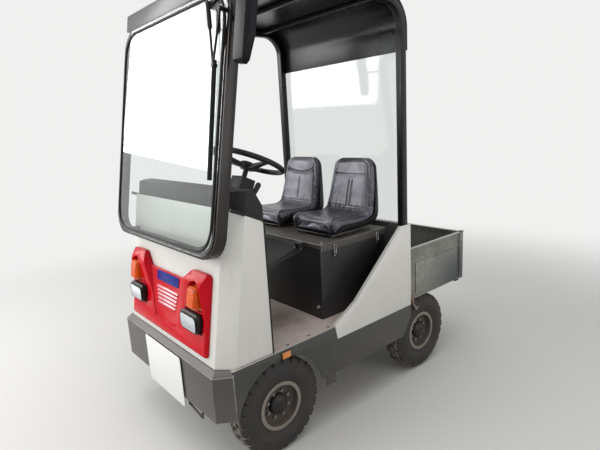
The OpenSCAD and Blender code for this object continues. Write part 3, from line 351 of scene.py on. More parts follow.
rimDark = coatedSheet("darker rim dish", {
    "dark": tone(48, 42, 38), "light": tone(84, 74, 67), "worn": tone(132, 122, 112), "wear": 0.4,
    "rough": 0.66, "scuffs": 0.3, "scuffColour": tone(112, 100, 90), "dust": 0.45,
    "dustColour": tone(104, 90, 78), "dustLow": 0.1, "dustHigh": 0.4, "bump": 0.4, "grain": 160.0})
rimSilver = coatedSheet("dusty silver rim paint", {
    "dark": tone(116, 108, 102), "light": tone(150, 142, 135), "worn": tone(96, 74, 58), "wear": 0.35,
    "rough": 0.5, "scuffs": 0.4, "scuffColour": tone(92, 80, 70), "metal": 0.2, "dust": 0.5,
    "dustColour": tone(104, 88, 76), "dustLow": 0.3, "dustHigh": 0.9, "bump": 0.2, "grain": 200.0})
bedPaint = coatedSheet("bed floor steel", {
    "dark": tone(86, 88, 87), "light": tone(116, 117, 114), "worn": tone(150, 142, 130), "wear": 0.5,
    "rough": 0.5, "scuffs": 0.8, "scuffColour": tone(150, 148, 142), "metal": 0.4, "dust": 0.6, "bump": 0.2})
lampBlack = coatedSheet("lamp housing plastic", {
    "dark": tone(14, 14, 16), "light": tone(24, 24, 26), "worn": tone(70, 70, 72), "wear": 0.2,
    "rough": 0.40, "scuffs": 0.2, "specular": 0.3, "dust": 0.20, "bump": 0.3, "grain": 600.0})
mirrorBlack = coatedSheet("mirror housing plastic", {
    "dark": tone(15, 14, 19), "light": tone(27, 25, 31), "worn": tone(70, 70, 74), "wear": 0.15,
    "rough": 0.36, "scuffs": 0.25, "scuffColour": tone(58, 58, 62), "specular": 0.14, "dust": 0.06,
    "bump": 0.35, "grain": 800.0})
lipZinc = coatedSheet("worn zinc of the bed's top lips", {
    "dark": tone(158, 157, 149), "light": tone(188, 187, 179), "worn": tone(212, 210, 202), "wear": 0.6,
    "rough": 0.46, "scuffs": 0.6, "scuffColour": tone(132, 126, 116), "metal": 0.3, "dust": 0.3,
    "bump": 0.15})
zincBright = coatedSheet("zinc plated steel", {
    "dark": tone(150, 150, 148), "light": tone(190, 189, 184), "worn": tone(120, 100, 82), "wear": 0.3,
    "rough": 0.32, "scuffs": 0.2, "metal": 0.85, "dust": 0.3, "bump": 0.1})
nutSteel = coatedSheet("dull wheel nut steel", {
    "dark": tone(92, 88, 84), "light": tone(140, 136, 130), "worn": tone(84, 66, 52), "wear": 0.4,
    "rough": 0.42, "scuffs": 0.3, "metal": 0.6, "dust": 0.45, "bump": 0.2})
batteryGrey = coatedSheet("battery case", {
    "dark": tone(58, 62, 66), "light": tone(76, 80, 84), "worn": tone(110, 110, 110), "wear": 0.3,
    "rough": 0.5, "dust": 0.5, "bump": 0.2})
plateWhite = coatedSheet("blank number board", {
    "dark": tone(222, 222, 220), "light": tone(240, 240, 238), "worn": tone(190, 188, 184), "wear": 0.15,
    "rough": 0.34, "scuffs": 0.15, "scuffColour": tone(190, 188, 184), "dust": 0.18, "dustLow": 0.2,
    "dustHigh": 0.4, "coat": 0.3, "bump": 0.03})
badgeBlue = coatedSheet("blank blue badge", {
    "dark": tone(16, 34, 112), "light": tone(26, 50, 142), "worn": tone(190, 190, 200), "wear": 0.3,
    "rough": 0.3, "scuffs": 0.3, "scuffColour": tone(90, 106, 170), "specular": 0.12, "dust": 0.03,
    "bump": 0.05})


# The pale pink 'worn' colour is laid on the moulding's convex edges as a painted highlight
redLook = {
    "dark": tone(176, 2, 18), "light": tone(212, 6, 32), "scuffed": tone(222, 96, 100),
    "worn": tone(240, 150, 154), "footHeight": 0.611, "footFrom": 0.014, "footTo": 0.022, "paintedHighlightShare": 0.75,
    "dustColour": tone(196, 96, 96), "dust": 0.07, "dustLow": 0.5, "dustHigh": 0.8, "rough": 0.2}


def makeRedMoulding():
    look = redLook
    made, tree, shader = startMaterial("red gloss moulding")
    grain = effect(tree, fineGrain, Scale=260.0, Waviness=1.2)
    marks = effect(tree, scuffs, Scale=0.8, Amount=0.28)["Mask"]
    shift = plus(tree, 0.5, grain["Shade"], clamp=True)
    colour = blendColour(tree, shift, look["dark"], look["light"])
    colour = blendColour(tree, marks, colour, look["scuffed"])
    # Edge mask: here it carries the painted highlight along the edges
    worn = effect(tree, edgeWear, Reach=0.006, Patches=6.0, Amount=0.9)["Mask"]
    # The edge mask lays a pale pink painted highlight on the convex edges; the sunk field runs out at its
    # foot, where no highlight is painted on the edge
    above = maths(tree, "SUBTRACT", axes(tree, bodySpot(tree))["Z"], look["footHeight"])
    away = maths(tree, "ABSOLUTE", above)
    paintedHighlightShare = remap(tree, away, look["footFrom"], look["footTo"], 0.0, look["paintedHighlightShare"])
    colour = tint(tree, colour, worn, paintedHighlightShare, look["worn"])
    film = addDust(tree, shader, colour, look)
    feed(tree, shader["Roughness"], plus(tree, look["rough"], times(tree, film, 0.5)))
    setInputs(shader, Specular_IOR_Level=0.1, Coat_Weight=0.06, Coat_Roughness=0.05)
    addBump(tree, shader, grain["Height"], 0.08, 0.0008)
    return made


# The bed's sheet: stained in clouds and brown at the foot of its front posts, and darker, blue black, low at
# the rear.
# The places run from 0 to 1 along X or up Z.
zincLook = {
    "flakes": 70.0, "dark": tone(128, 131, 124), "light": tone(152, 154, 146), "stain": tone(104, 103, 96),
    "rearAlong": (-0.42, -0.82), "rearUp": (0.74, 0.52), "rear": tone(56, 66, 78),
    "postAlong": (-0.42, -0.345), "postUp": (0.60, 0.48), "post": tone(120, 92, 70),
    "runs": tone(118, 104, 88), "worn": tone(206, 202, 192), "dustColour": tone(150, 140, 126), "dust": 0.3,
    "dustLow": 0.45, "dustHigh": 0.7, "rough": 0.42}


def makeGalvanised():
    look = zincLook
    made, tree, shader = startMaterial("galvanised sheet")
    spangle = wireNode(tree, "ShaderNodeTexVoronoi", {"Vector": bodySpot(tree), "Scale": look["flakes"]},
                       feature="F1")
    flake = axes(tree, spangle.outputs["Color"])["X"]
    grain = effect(tree, fineGrain, Scale=240.0, Waviness=0.5)
    colour = blendColour(tree, flake, look["dark"], look["light"])
    stain = patches(tree, bodySpot(tree, (1, 1, 1.6)), 2.6, 5.0, 0.6, 0.40, 0.66, 0.6)
    colour = tint(tree, colour, stain, 0.6, look["stain"])
    spots = axes(tree, bodySpot(tree))
    rear = times(tree, remap(tree, spots["X"], *look["rearAlong"]), remap(tree, spots["Z"], *look["rearUp"]))
    colour = tint(tree, colour, rear, 0.75, look["rear"])
    runs = effect(tree, runMarks, Spacing=30.0, Amount=0.4)["Mask"]
    colour = blendColour(tree, runs, colour, look["runs"])
    post = times(tree, remap(tree, spots["X"], *look["postAlong"]), remap(tree, spots["Z"], *look["postUp"]))
    colour = tint(tree, colour, post, 0.8, look["post"])
    worn = effect(tree, edgeWear, Reach=0.004, Patches=9.0, Amount=0.9)["Mask"]
    film = addDust(tree, shader, blendColour(tree, worn, colour, look["worn"]), look)
    shader["Metallic"].default_value = 0.55
    rough = plus(tree, look["rough"], times(tree, flake, 0.12))
    feed(tree, shader["Roughness"], plus(tree, rough, times(tree, film, 0.3)))
    addBump(tree, shader, grain["Height"], 0.15, 0.0008)
    return made


# The floor: speckled and gritty, with a dark stain before the seat box
floorLook = {
    "dark": tone(142, 128, 121), "light": tone(206, 192, 185), "speck": tone(196, 188, 182),
    "grit": tone(96, 84, 78), "stainSpot": (0.44, 0.22, 0.52), "stainFrom": 0.34, "stainTo": 0.14,
    "stain": tone(98, 80, 70), "scuffed": tone(192, 184, 178), "rough": 0.62}


def makeWornFloor():
    look = floorLook
    made, tree, shader = startMaterial("worn floor plate")
    spot = bodySpot(tree)
    grain = effect(tree, fineGrain, Scale=120.0, Waviness=0.2)
    colour = blendColour(tree, noiseAt(tree, spot, 7.0, 7.0, 0.7), look["dark"], look["light"])
    speck = patches(tree, spot, 160.0, 4.0, 0.8, 0.52, 0.72)
    colour = tint(tree, colour, speck, 0.55, look["speck"])
    grit = patches(tree, spot, 60.0, 6.0, 0.75, 0.55, 0.75)
    colour = tint(tree, colour, grit, 0.5, look["grit"])
    gap = addNodeWith(tree, "ShaderNodeVectorMath", spot, look["stainSpot"], operation="DISTANCE")
    uneven = plus(tree, gap.outputs["Value"], times(tree, noiseAt(tree, spot, 8.0, 5.0), 0.22))
    stain = remap(tree, uneven, look["stainFrom"], look["stainTo"])
    colour = tint(tree, colour, stain, 0.75, look["stain"])
    marks = effect(tree, scuffs, Scale=0.7, Amount=0.7)["Mask"]
    feed(tree, shader["Base Color"], blendColour(tree, marks, colour, look["scuffed"]))
    feed(tree, shader["Roughness"], plus(tree, look["rough"], times(tree, grit, 0.2)))
    addBump(tree, shader, grain["Height"], 0.4, 0.001)
    return made


# The tyres: dusty in clouds, and paler where the tread faces out
rubberLook = {
    "dark": tone(26, 25, 24), "light": tone(46, 43, 41), "cloud": tone(78, 70, 63), "treadFrom": 0.5,
    "treadTo": 0.15, "tread": tone(150, 140, 130), "rough": 0.66}


def makeTyreRubber():
    look = rubberLook
    made, tree, shader = startMaterial("dusty tyre rubber")
    spot = bodySpot(tree)
    grain = effect(tree, fineGrain, Scale=320.0, Waviness=0.2)
    colour = blendColour(tree, noiseAt(tree, spot, 14.0, 6.0, 0.65), look["dark"], look["light"])
    cloud = patches(tree, spot, 7.0, 6.0, 0.7, 0.40, 0.72)
    colour = tint(tree, colour, cloud, 0.42, look["cloud"])
    across = axes(tree, addNode(tree, "ShaderNodeNewGeometry").outputs["Normal"])["Y"]
    tread = remap(tree, maths(tree, "ABSOLUTE", across), look["treadFrom"], look["treadTo"])
    dusty = times(tree, tread, patches(tree, spot, 22.0, 5.0, 0.7, 0.28, 0.6))
    feed(tree, shader["Base Color"], tint(tree, colour, dusty, 0.72, look["tread"]))
    feed(tree, shader["Roughness"], plus(tree, look["rough"], times(tree, cloud, 0.25)))
    addBump(tree, shader, grain["Height"], 0.4, 0.001)
    return made


vinylLook = {
    "pebbles": 420.0, "dark": tone(20, 19, 24), "light": tone(36, 34, 42), "worn": tone(70, 68, 72),
    "dustColour": tone(104, 99, 95), "dust": 0.16, "dustLow": 0.2, "dustHigh": 0.5, "rough": 0.36}


def makeVinyl():
    look = vinylLook
    made, tree, shader = startMaterial("black seat vinyl")
    spot = bodySpot(tree)
    pebble = wireNode(tree, "ShaderNodeTexVoronoi", {"Vector": spot, "Scale": look["pebbles"]},
                      feature="SMOOTH_F1")
    cloud = noiseAt(tree, spot, 5.0, 5.0, 0.6)
    colour = blendColour(tree, cloud, look["dark"], look["light"])
    colour = tint(tree, colour, patches(tree, spot, 9.0, 6.0, 0.7, 0.52, 0.76), 0.25, look["worn"])
    addDust(tree, shader, colour, look)
    feed(tree, shader["Roughness"], plus(tree, look["rough"], times(tree, cloud, 0.14)))
    setInputs(shader, Specular_IOR_Level=0.9, Specular_Tint=tone(230, 227, 240), Coat_Weight=0.85,
              Coat_Roughness=0.34, Coat_Tint=tone(236, 234, 244))
    creases = noiseAt(tree, bodySpot(tree, (1, 1, 0.6)), 34.0, 4.0, 0.6, 1.2)
    height = plus(tree, times(tree, pebble.outputs["Distance"], 0.35), creases)
    addBump(tree, shader, height, 0.28, 0.0011)
    return made


def makeGlass(name, colour, rough):
    made, tree, shader = startMaterial(name)
    smear = noiseAt(tree, bodySpot(tree, (1, 1, 0.4)), 6.0, 5.0, 0.6)
    feed(tree, shader["Roughness"], plus(tree, rough, times(tree, smear, 0.03)))
    setInputs(shader, Base_Color=colour, Transmission_Weight=1.0, IOR=1.45)
    return made


def makeMirrorFace():
    made, tree, shader = startMaterial("mirror face")
    haze = noiseAt(tree, bodySpot(tree), 12.0, 4.0, 0.6)
    colour = blendColour(tree, haze, tone(196, 200, 206), tone(220, 223, 228))
    feed(tree, shader["Base Color"], colour)
    shader["Metallic"].default_value = 1.0
    feed(tree, shader["Roughness"], times(tree, haze, 0.12))
    return made


lensDust = {"dustColour": tone(150, 140, 130), "dust": 0.15, "dustLow": 0.4, "dustHigh": 0.9}
rubberDust = {"dustColour": tone(120, 112, 104), "dust": 0.3, "dustLow": 0.2, "dustHigh": 0.6}


def makeLens(name, dark, light, ribAxis, pitch, look):
    made, tree, shader = startMaterial(name)
    spot = bodySpot(tree)
    along = axes(tree, spot)[ribAxis]
    # The lens colour is painted lighter and darker in stripes at the ribs' pitch: painted shading of the ribs
    rib = maths(tree, "SINE", times(tree, along, 2 * math.pi / pitch))
    cloud = noiseAt(tree, spot, look.get("cloudScale", 24.0), 3.0, 0.5)
    mixed = plus(tree, times(tree, rib, look.get("ribTint", 0.14)), cloud, clamp=True)
    colour = blendColour(tree, mixed, dark, light)
    if "clearBelow" in look:
        faded = remap(tree, axes(tree, spot)["Z"], look["clearBelow"] + 0.012, look["clearBelow"] - 0.006)
        colour = tint(tree, colour, faded, 0.8, look["clearColour"])
    addDust(tree, shader, colour, lensDust)
    setInputs(shader, Roughness=0.14, Specular_IOR_Level=look.get("specular", 0.4),
              Coat_Weight=look.get("coat", 0.2), Coat_Roughness=0.05)
    addBump(tree, shader, rib, look.get("bump", 0.5), 0.002)
    return made


def makeRubber(name, dark, light, rough):
    made, tree, shader = startMaterial(name)
    grain = effect(tree, fineGrain, Scale=500.0, Waviness=0.3)
    shift = plus(tree, 0.5, grain["Shade"], clamp=True)
    addDust(tree, shader, blendColour(tree, shift, dark, light), rubberDust)
    feed(tree, shader["Roughness"], plus(tree, rough, times(tree, grain["Shade"], 0.15)))
    shader["Specular IOR Level"].default_value = 0.25
    addBump(tree, shader, grain["Height"], 0.3, 0.0006)
    return made


redMoulding = makeRedMoulding()
galvanised = makeGalvanised()
wornFloor = makeWornFloor()
tyreRubber = makeTyreRubber()
seatVinyl = makeVinyl()
screenGlass = makeGlass("windscreen glass", tone(244, 250, 248), 0.0)
rearGlass = makeGlass("rear window sheet", tone(236, 240, 238), 0.03)
mirrorFace = makeMirrorFace()
headlampLens = makeLens("ribbed headlamp lens", tone(218, 224, 230), tone(248, 250, 252), "Y", 0.0066,
                        {"bump": 0.5, "coat": 0.5})
amberLens = makeLens("amber lens", tone(188, 52, 0), tone(238, 100, 6), "Z", 0.006,
                     {"clearBelow": 0.764, "clearColour": tone(236, 178, 148), "bump": 0.35, "specular": 0.15,
                      "coat": 0.06})
markerLens = makeLens("amber marker lens", tone(206, 120, 50), tone(232, 150, 78), "X", 0.005, {"bump": 0.3})
redLens = makeLens("red tail lens", tone(140, 8, 12), tone(196, 20, 24), "Y", 0.007, {"bump": 0.4})
trimRubber = makeRubber("black edge rubber", tone(14, 14, 14), tone(28, 28, 28), 0.5)
bladeRubber = makeRubber("wiper black", tone(16, 16, 17), tone(30, 30, 31), 0.4)
print("materials made")


# Mesh helpers
def addPiece(name, verts, faces, material, smoothAngle=None):
    mesh = bpy.data.meshes.new(name)
    mesh.from_pydata([tuple(v) for v in verts], [], faces)
    mesh.update()
    return dress(bpy.data.objects.new(name, mesh), material, smoothAngle)


def dress(piece, material, smoothAngle=None):
    if piece.name not in bpy.context.scene.collection.objects:
        bpy.context.scene.collection.objects.link(piece)
    piece.data.materials.clear()
    piece.data.materials.append(material)
    return smoothShade(piece, smoothAngle)


def smoothShade(piece, angle):
    # Smooth faces with sharp edges above an angle; flat where none is given
    if angle is not None:
        piece.data.shade_smooth()
        piece.data.set_sharp_from_angle(angle=math.radians(angle))
    return piece


@contextmanager
def openMesh(piece):
    shape = bmesh.new()
    shape.from_mesh(piece.data)
    yield shape
    shape.to_mesh(piece.data)
    shape.free()


def turnOutwards(shape):
    bmesh.ops.recalc_face_normals(shape, faces=shape.faces)


def mergeDoubles(piece, reach):
    with openMesh(piece) as shape:
        bmesh.ops.remove_doubles(shape, verts=shape.verts, dist=reach)
        turnOutwards(shape)


def gridFaces(rings, count, around=True, closed=False, first=0):
    # Quads between rings of points that follow one another
    faces = []
    for r in range(rings if closed else rings - 1):
        here, there = first + r * count, first + (r + 1) % rings * count
        for i in range(count if around else count - 1):
            k = (i + 1) % count
            faces.append((here + i, here + k, there + k, there + i))
    return faces


def fromBmesh(name, shape, material, smoothAngle=None):
    turnOutwards(shape)
    mesh = bpy.data.meshes.new(name)
    shape.to_mesh(mesh)
    shape.free()
    return dress(bpy.data.objects.new(name, mesh), material, smoothAngle)


def plainMesh(piece):
    graph = bpy.context.evaluated_depsgraph_get()
    mesh = bpy.data.meshes.new_from_object(piece.evaluated_get(graph), depsgraph=graph)
    old = piece.data
    piece.modifiers.clear()
    piece.data = mesh
    bpy.data.meshes.remove(old)
    return piece


def softenEdges(piece, width, segments=2, angle=30, smooth=40):
    rounded = piece.modifiers.new("rounding", "BEVEL")
    rounded.width = width
    rounded.segments = segments
    rounded.limit_method = "ANGLE"
    rounded.angle_limit = math.radians(angle)
    plainMesh(piece)
    return smoothShade(piece, smooth)


def thicken(piece, thickness, offset=-1.0):
    thick = piece.modifiers.new("thickness", "SOLIDIFY")
    thick.thickness = thickness
    thick.offset = offset
    return plainMesh(piece)


def finishPiece(piece, body, slot, *replaced):
    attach(piece, body)
    if replaced:
        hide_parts(*replaced)
    return piece


def addBox(shape, low, high):
    made = bmesh.ops.create_cube(shape, size=1.0)["verts"]
    low, high = Vector(low), Vector(high)
    size = high - low
    for vert in made:
        vert.co = Vector(((low[i] + high[i]) / 2 + vert.co[i] * size[i] for i in range(3)))
    return made


def addRod(shape, start, end, radius, sides=12, radiusEnd=None):
    start, end = Vector(start), Vector(end)
    along = end - start
    turn = along.to_track_quat("Z", "Y").to_matrix().to_4x4()
    spot = Matrix.Translation((start + end) / 2) @ turn
    return bmesh.ops.create_cone(shape, cap_ends=True, segments=sides, radius1=radius,
                                 radius2=radius if radiusEnd is None else radiusEnd, depth=along.length,
                                 matrix=spot)["verts"]


def filletPath(points, radius, steps=5):
    # A closed outline with each corner rounded by an arc
    rounded = []
    for i, corner in enumerate(points):
        corner = Vector(corner)
        before, after = Vector(points[i - 1]) - corner, Vector(points[(i + 1) % len(points)]) - corner
        reach = min(radius, before.length * 0.45, after.length * 0.45)
        first, last = corner + before.normalized() * reach, corner + after.normalized() * reach
        for k in range(steps + 1):
            t = k / steps
            rounded.append((1 - t) ** 2 * first + 2 * t * (1 - t) * corner + t * t * last)
    return rounded


def addPlate(shape, outline, place, depth):
    # A flat plate: its outline in the X-Y plane of a 4x4 place, its depth along that place's Z
    low = [shape.verts.new(place @ Vector((p[0], p[1], 0))) for p in outline]
    high = [shape.verts.new(place @ Vector((p[0], p[1], depth))) for p in outline]
    shape.faces.new(low[::-1])
    shape.faces.new(high)
    for i in range(len(outline)):
        k = (i + 1) % len(outline)
        shape.faces.new((low[i], low[k], high[k], high[i]))


# Geometry Nodes: what repeats, or follows a path
def startTree(name, inputs):
    tree = bpy.data.node_groups.new(name, "GeometryNodeTree")
    tree.interface.new_socket(name="Geometry", in_out="INPUT", socket_type="NodeSocketGeometry")
    for label, kind, value in inputs:
        socket = tree.interface.new_socket(name=label, in_out="INPUT", socket_type=kind)
        if value is not None:
            socket.default_value = value
    tree.interface.new_socket(name="Geometry", in_out="OUTPUT", socket_type="NodeSocketGeometry")
    return tree, addNode(tree, "NodeGroupInput").outputs, addNode(tree, "NodeGroupOutput").inputs


def endTree(tree, out, geometry, material):
    real = addNodeWith(tree, "GeometryNodeRealizeInstances", geometry)
    skin = wireNode(tree, "GeometryNodeSetMaterial", {"Geometry": real.outputs[0], "Material": material})
    feed(tree, out["Geometry"], skin.outputs[0])
    return tree


def grow(piece, tree, values):
    # Runs a tree on a piece and leaves its result as a plain mesh
    grown = piece.modifiers.new("grow", "NODES")
    grown.node_group = tree
    sockets = {s.name: s.identifier for s in tree.interface.items_tree if s.in_out == "INPUT"}
    for label, value in values.items():
        grown[sockets[label]] = value
    skin = values.get("Material")
    plainMesh(piece)
    if skin is not None:
        piece.data.materials.clear()
        piece.data.materials.append(skin)
    return piece


intKind, vectorKind, skinKind = "NodeSocketInt", "NodeSocketVector", "NodeSocketMaterial"


def makeFastenerTree():
    # A head on a washer at each point, facing along the point's aim and turned at random
    tree, given, out = startTree("fastener row", [
        ("Head radius", floatKind, 0.008), ("Head height", floatKind, 0.005), ("Sides", intKind, 6),
        ("Washer radius", floatKind, 0.012), ("Seed", intKind, 3), ("Material", skinKind, None)])
    high, wide = given["Head height"], given["Washer radius"]
    head = wireNode(tree, "GeometryNodeMeshCylinder", {
        "Vertices": given["Sides"], "Radius": given["Head radius"], "Depth": high})
    rise = wireNode(tree, "ShaderNodeCombineXYZ", {"Z": times(tree, high, 0.6)})
    lifted = wireNode(tree, "GeometryNodeTransform", {
        "Geometry": head.outputs["Mesh"], "Translation": rise.outputs[0]})
    washer = wireNode(tree, "GeometryNodeMeshCone", {
        "Vertices": 16, "Radius Bottom": wide, "Radius Top": times(tree, wide, 0.92),
        "Depth": times(tree, high, 0.25)})
    both = addNodeWith(tree, "GeometryNodeJoinGeometry", lifted.outputs[0])
    feed(tree, both.inputs[0], washer.outputs["Mesh"])
    aim = wireNode(tree, "GeometryNodeInputNamedAttribute", {"Name": "aim"}, data_type="FLOAT_VECTOR")
    turned = wireNode(tree, "FunctionNodeAlignRotationToVector", {"Vector": aim.outputs["Attribute"]},
                      axis="Z")
    spin = wireNode(tree, "FunctionNodeRandomValue", {"Max": (0, 0, math.tau), "Seed": given["Seed"]},
                    data_type="FLOAT_VECTOR")
    local = wireNode(tree, "FunctionNodeRotateRotation", {
        "Rotation": turned.outputs[0], "Rotate By": spin.outputs["Value"]}, rotation_space="LOCAL")
    spread = wireNode(tree, "GeometryNodeInstanceOnPoints", {
        "Points": given["Geometry"], "Instance": both.outputs[0], "Rotation": local.outputs[0]})
    return endTree(tree, out, spread.outputs[0], given["Material"])


def makeRowTree():
    tree, given, out = startTree("row of parts", [
        ("Count", intKind, 5), ("Step", vectorKind, (0.01, 0, 0)), ("Material", skinKind, None)])
    line = wireNode(tree, "GeometryNodeMeshLine", {"Count": given["Count"], "Offset": given["Step"]},
                    mode="OFFSET")
    spread = wireNode(tree, "GeometryNodeInstanceOnPoints", {
        "Points": line.outputs[0], "Instance": given["Geometry"]})
    return endTree(tree, out, spread.outputs[0], given["Material"])


def makeRingTree():
    # Copies turned about the wheel's axle, evenly from a start angle
    tree, given, out = startTree("ring of parts", [
        ("Count", intKind, 12), ("Start angle", floatKind, 0.0), ("Centre", vectorKind, (0, 0, 0)),
        ("Material", skinKind, None)])
    dots = wireNode(tree, "GeometryNodePoints", {"Count": given["Count"], "Position": given["Centre"]})
    index = addNode(tree, "GeometryNodeInputIndex")
    share = maths(tree, "DIVIDE", index.outputs[0], given["Count"])
    angle = plus(tree, times(tree, share, math.tau), given["Start angle"])
    turn = wireNode(tree, "ShaderNodeCombineXYZ", {"Y": angle})
    spread = wireNode(tree, "GeometryNodeInstanceOnPoints", {
        "Points": dots.outputs[0], "Instance": given["Geometry"], "Rotation": turn.outputs[0]})
    return endTree(tree, out, spread.outputs[0], given["Material"])


def makeTrimTree():
    # A round section swept along each path
    tree, given, out = startTree("edge trim", [
        ("Radius", floatKind, 0.006), ("Sides", intKind, 8), ("Material", skinKind, None)])
    curve = addNodeWith(tree, "GeometryNodeMeshToCurve", given["Geometry"])
    ring = wireNode(tree, "GeometryNodeCurvePrimitiveCircle", {
        "Resolution": given["Sides"], "Radius": given["Radius"]}, mode="RADIUS")
    swept = wireNode(tree, "GeometryNodeCurveToMesh", {
        "Curve": curve.outputs[0], "Profile Curve": ring.outputs["Curve"], "Fill Caps": True})
    return endTree(tree, out, swept.outputs[0], given["Material"])


fastenerTree = makeFastenerTree()
rowTree = makeRowTree()
ringTree = makeRingTree()
trimTree = makeTrimTree()


def addFasteners(name, spots, material, slot, radius, height, sides=6, washer=0.011, seed=3, body="chassis"):
    # spots are pairs of a point on a surface and the direction it faces
    piece = addPiece(name, [p for p, aim in spots], [], material)
    facing = piece.data.attributes.new("aim", "FLOAT_VECTOR", "POINT")
    facing.data.foreach_set("vector", [c for p, aim in spots for c in aim])
    grow(piece, fastenerTree, {"Head radius": radius, "Head height": height, "Sides": sides,
                               "Washer radius": washer, "Seed": seed, "Material": material})
    return finishPiece(piece, body, slot)


def addTrim(name, paths, material, slot, radius, sides=8, closed=False, body="chassis"):
    # A rod of small radius along each path
    verts, edges = [], []
    for path in paths:
        first = len(verts)
        verts += [tuple(p) for p in path]
        edges += [(first + i, first + i + 1) for i in range(len(path) - 1)]
        if closed:
            edges.append((len(verts) - 1, first))
    mesh = bpy.data.meshes.new(name)
    mesh.from_pydata(verts, edges, [])
    piece = dress(bpy.data.objects.new(name, mesh), material)
    grow(piece, trimTree, {"Radius": radius, "Sides": sides, "Material": material})
    smoothShade(piece, 50)
    return finishPiece(piece, body, slot)


# Every CAD node's finish and, where its edges show, the radius that softens them
finishes = {
    # node: (material, edge radius in metres)
    "chassis_frame": (frameGrey, 0.0025), "front_bumper": (bumperGrey, 0.005),
    "side_skirts": (chassisGrey, 0.0012), "floor_plate": (wornFloor, 0.002),
    "front_apron": (panelWhite, 0.0035), "front_fascia": (redMoulding, 0.0022),
    "headlamps": (lampBlack, 0.004), "amber_lamps": (amberLens, 0.0035), "number_plate": (plateWhite, 0.001),
    "windscreen_frame": (hoopBlack, 0.008), "windscreen_glass": (screenGlass, 0),
    "wiper": (bladeRubber, 0.001), "dashboard": (dashBlack, 0.007), "steering_column": (dashBlack, 0.006),
    "pedals": (lampBlack, 0.002), "side_panels": (panelWhite, 0.0018), "battery_box": (boxBlack, 0.0025),
    "battery_pack": (batteryGrey, 0.004), "roof_frame": (tubeBlack, 0.005), "roof_skin": (roofBlack, 0.0035),
    "rear_window": (rearGlass, 0), "load_bed": (bedPaint, 0.0012), "bed_sides": (galvanised, 0.0014),
    "rear_lamps": (redLens, 0.004), "mirrors": (mirrorBlack, 0.007), "front_axle": (axleIron, 0.002),
    "rear_axle": (axleIron, 0), "tow_coupling": (frameGrey, 0.0025), "tailgate": (galvanised, 0.0014),
    "seat_lid": (lidBlack, 0.004), "seat_shells": (lampBlack, 0), "seat_left": (seatVinyl, 0),
    "seat_right": (seatVinyl, 0), "steering_wheel": (lampBlack, 0), "knuckle_left": (axleIron, 0.0015),
    "knuckle_right": (axleIron, 0.0015), "track_rod": (axleIron, 0)}
leverRear = 0.6602    # the dash's lever starts behind this
dishRadius = 0.0995   # the rim's flange starts outside this
lipDepth = 0.0015
nodeBody = {node: body for body, nodes in frame["record"]["behaviour"]["bodies"].items() for node in nodes}
nodeSlot = {part["node"]: part["material_slot"] for part in frame["record"]["subparts"]}


def mergedCopy(name, node, material):
    shape = bmesh.new()
    shape.from_mesh(cad[node].data)
    bmesh.ops.remove_doubles(shape, verts=shape.verts, dist=0.00002)
    bmesh.ops.dissolve_limit(shape, angle_limit=math.radians(1.0), verts=shape.verts, edges=shape.edges)
    return fromBmesh(name, shape, material)


def cutPast(piece, spot, aim):
    # Drops what lies past a plane and closes the cut
    with openMesh(piece) as shape:
        parts = shape.verts[:] + shape.edges[:] + shape.faces[:]
        cut = bmesh.ops.bisect_plane(shape, geom=parts, plane_co=spot, plane_no=aim,
                                     clear_outer=True)["geom_cut"]
        bmesh.ops.edgeloop_fill(shape, edges=[e for e in cut if isinstance(e, bmesh.types.BMEdge)])


def softCopy(node, material, radius):
    copied = mergedCopy("soft." + node, node, material)
    if node == "dashboard":
        # The lever is left out here and made thicker with the controls
        cutPast(copied, (leverRear, 0, 0), (-1, 0, 0))
    softenEdges(copied, radius, 3 if radius > 0.003 else 2, 28, 40)
    return finishPiece(copied, nodeBody[node], nodeSlot[node], node)


def darkenDish(node):
    # The flange ring stays bright, the dish inside it is darker
    low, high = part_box(node)
    centre = (low + high) / 2
    wheel = softened[node]
    wheel.data.materials.append(rimDark)
    for face in wheel.data.polygons:
        corners = [wheel.data.vertices[i].co for i in face.vertices]
        reach = sum(math.hypot(c.x - centre.x, c.z - centre.z) for c in corners) / len(corners)
        face.material_index = 1 if reach < dishRadius else 0


def brightenLips(node):
    # The bed's lips are rubbed bright on top by what is lifted over them
    sheet = softened[node]
    sheet.data.materials.append(lipZinc)
    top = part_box(node)[1].z
    for face in sheet.data.polygons:
        face.material_index = 1 if face.center.z > top - lipDepth else 0


softened = {}
for name, piece in cad.items():
    material, radius = finishes.get(name, (rimSilver, 0.001) if name.startswith("rim_") else (tyreRubber, 0))
    for holder in piece.material_slots:
        holder.material = material
    if radius > 0:
        softened[name] = softCopy(name, material, radius)
    if name.startswith("rim_"):
        darkenDish(name)
    if name in ("bed_sides", "tailgate"):
        brightenLips(name)
print("CAD nodes finished:", len(softened), "with softened edges")

# Tyres: a worn carcass with rings on its walls, and shoulder and crown blocks
tyreLook = {
    "wheelSegments": 96, "shoulderBlocks": 26, "crownBlocks": 26, "crownStart": 0.12,
    # The carcass from bead to crown: radius, distance from the middle
    "wall": [(0.1175, 0.0435), (0.1215, 0.0475), (0.126, 0.0500), (0.129, 0.0488), (0.136, 0.0535),
             (0.150, 0.0590), (0.164, 0.0615), (0.168, 0.0628), (0.172, 0.0612), (0.184, 0.0606),
             (0.198, 0.0574), (0.209, 0.0528), (0.2185, 0.0440), (0.2235, 0.0300), (0.2243, 0.0)],
    "inner": [(0.1040, 0.0435), (0.1040, 0.0300), (0.1200, 0.0290), (0.1600, 0.0440), (0.2050, 0.0380)],
    # One shoulder block: distance from the middle, radius
    "shoulder": [(0.0190, 0.2328), (0.0375, 0.2322), (0.0475, 0.2260), (0.0550, 0.2100), (0.0568, 0.1960),
                 (0.0500, 0.1990), (0.0420, 0.2140), (0.0190, 0.2200)],
    "crown": [(-0.0130, 0.2328), (0.0130, 0.2328), (0.0150, 0.2210), (-0.0150, 0.2210)],
    "shoulderWidth": 0.0375, "crownWidth": 0.034, "skew": 0.16, "worn": 0.0012, "wornFrom": 0.222}


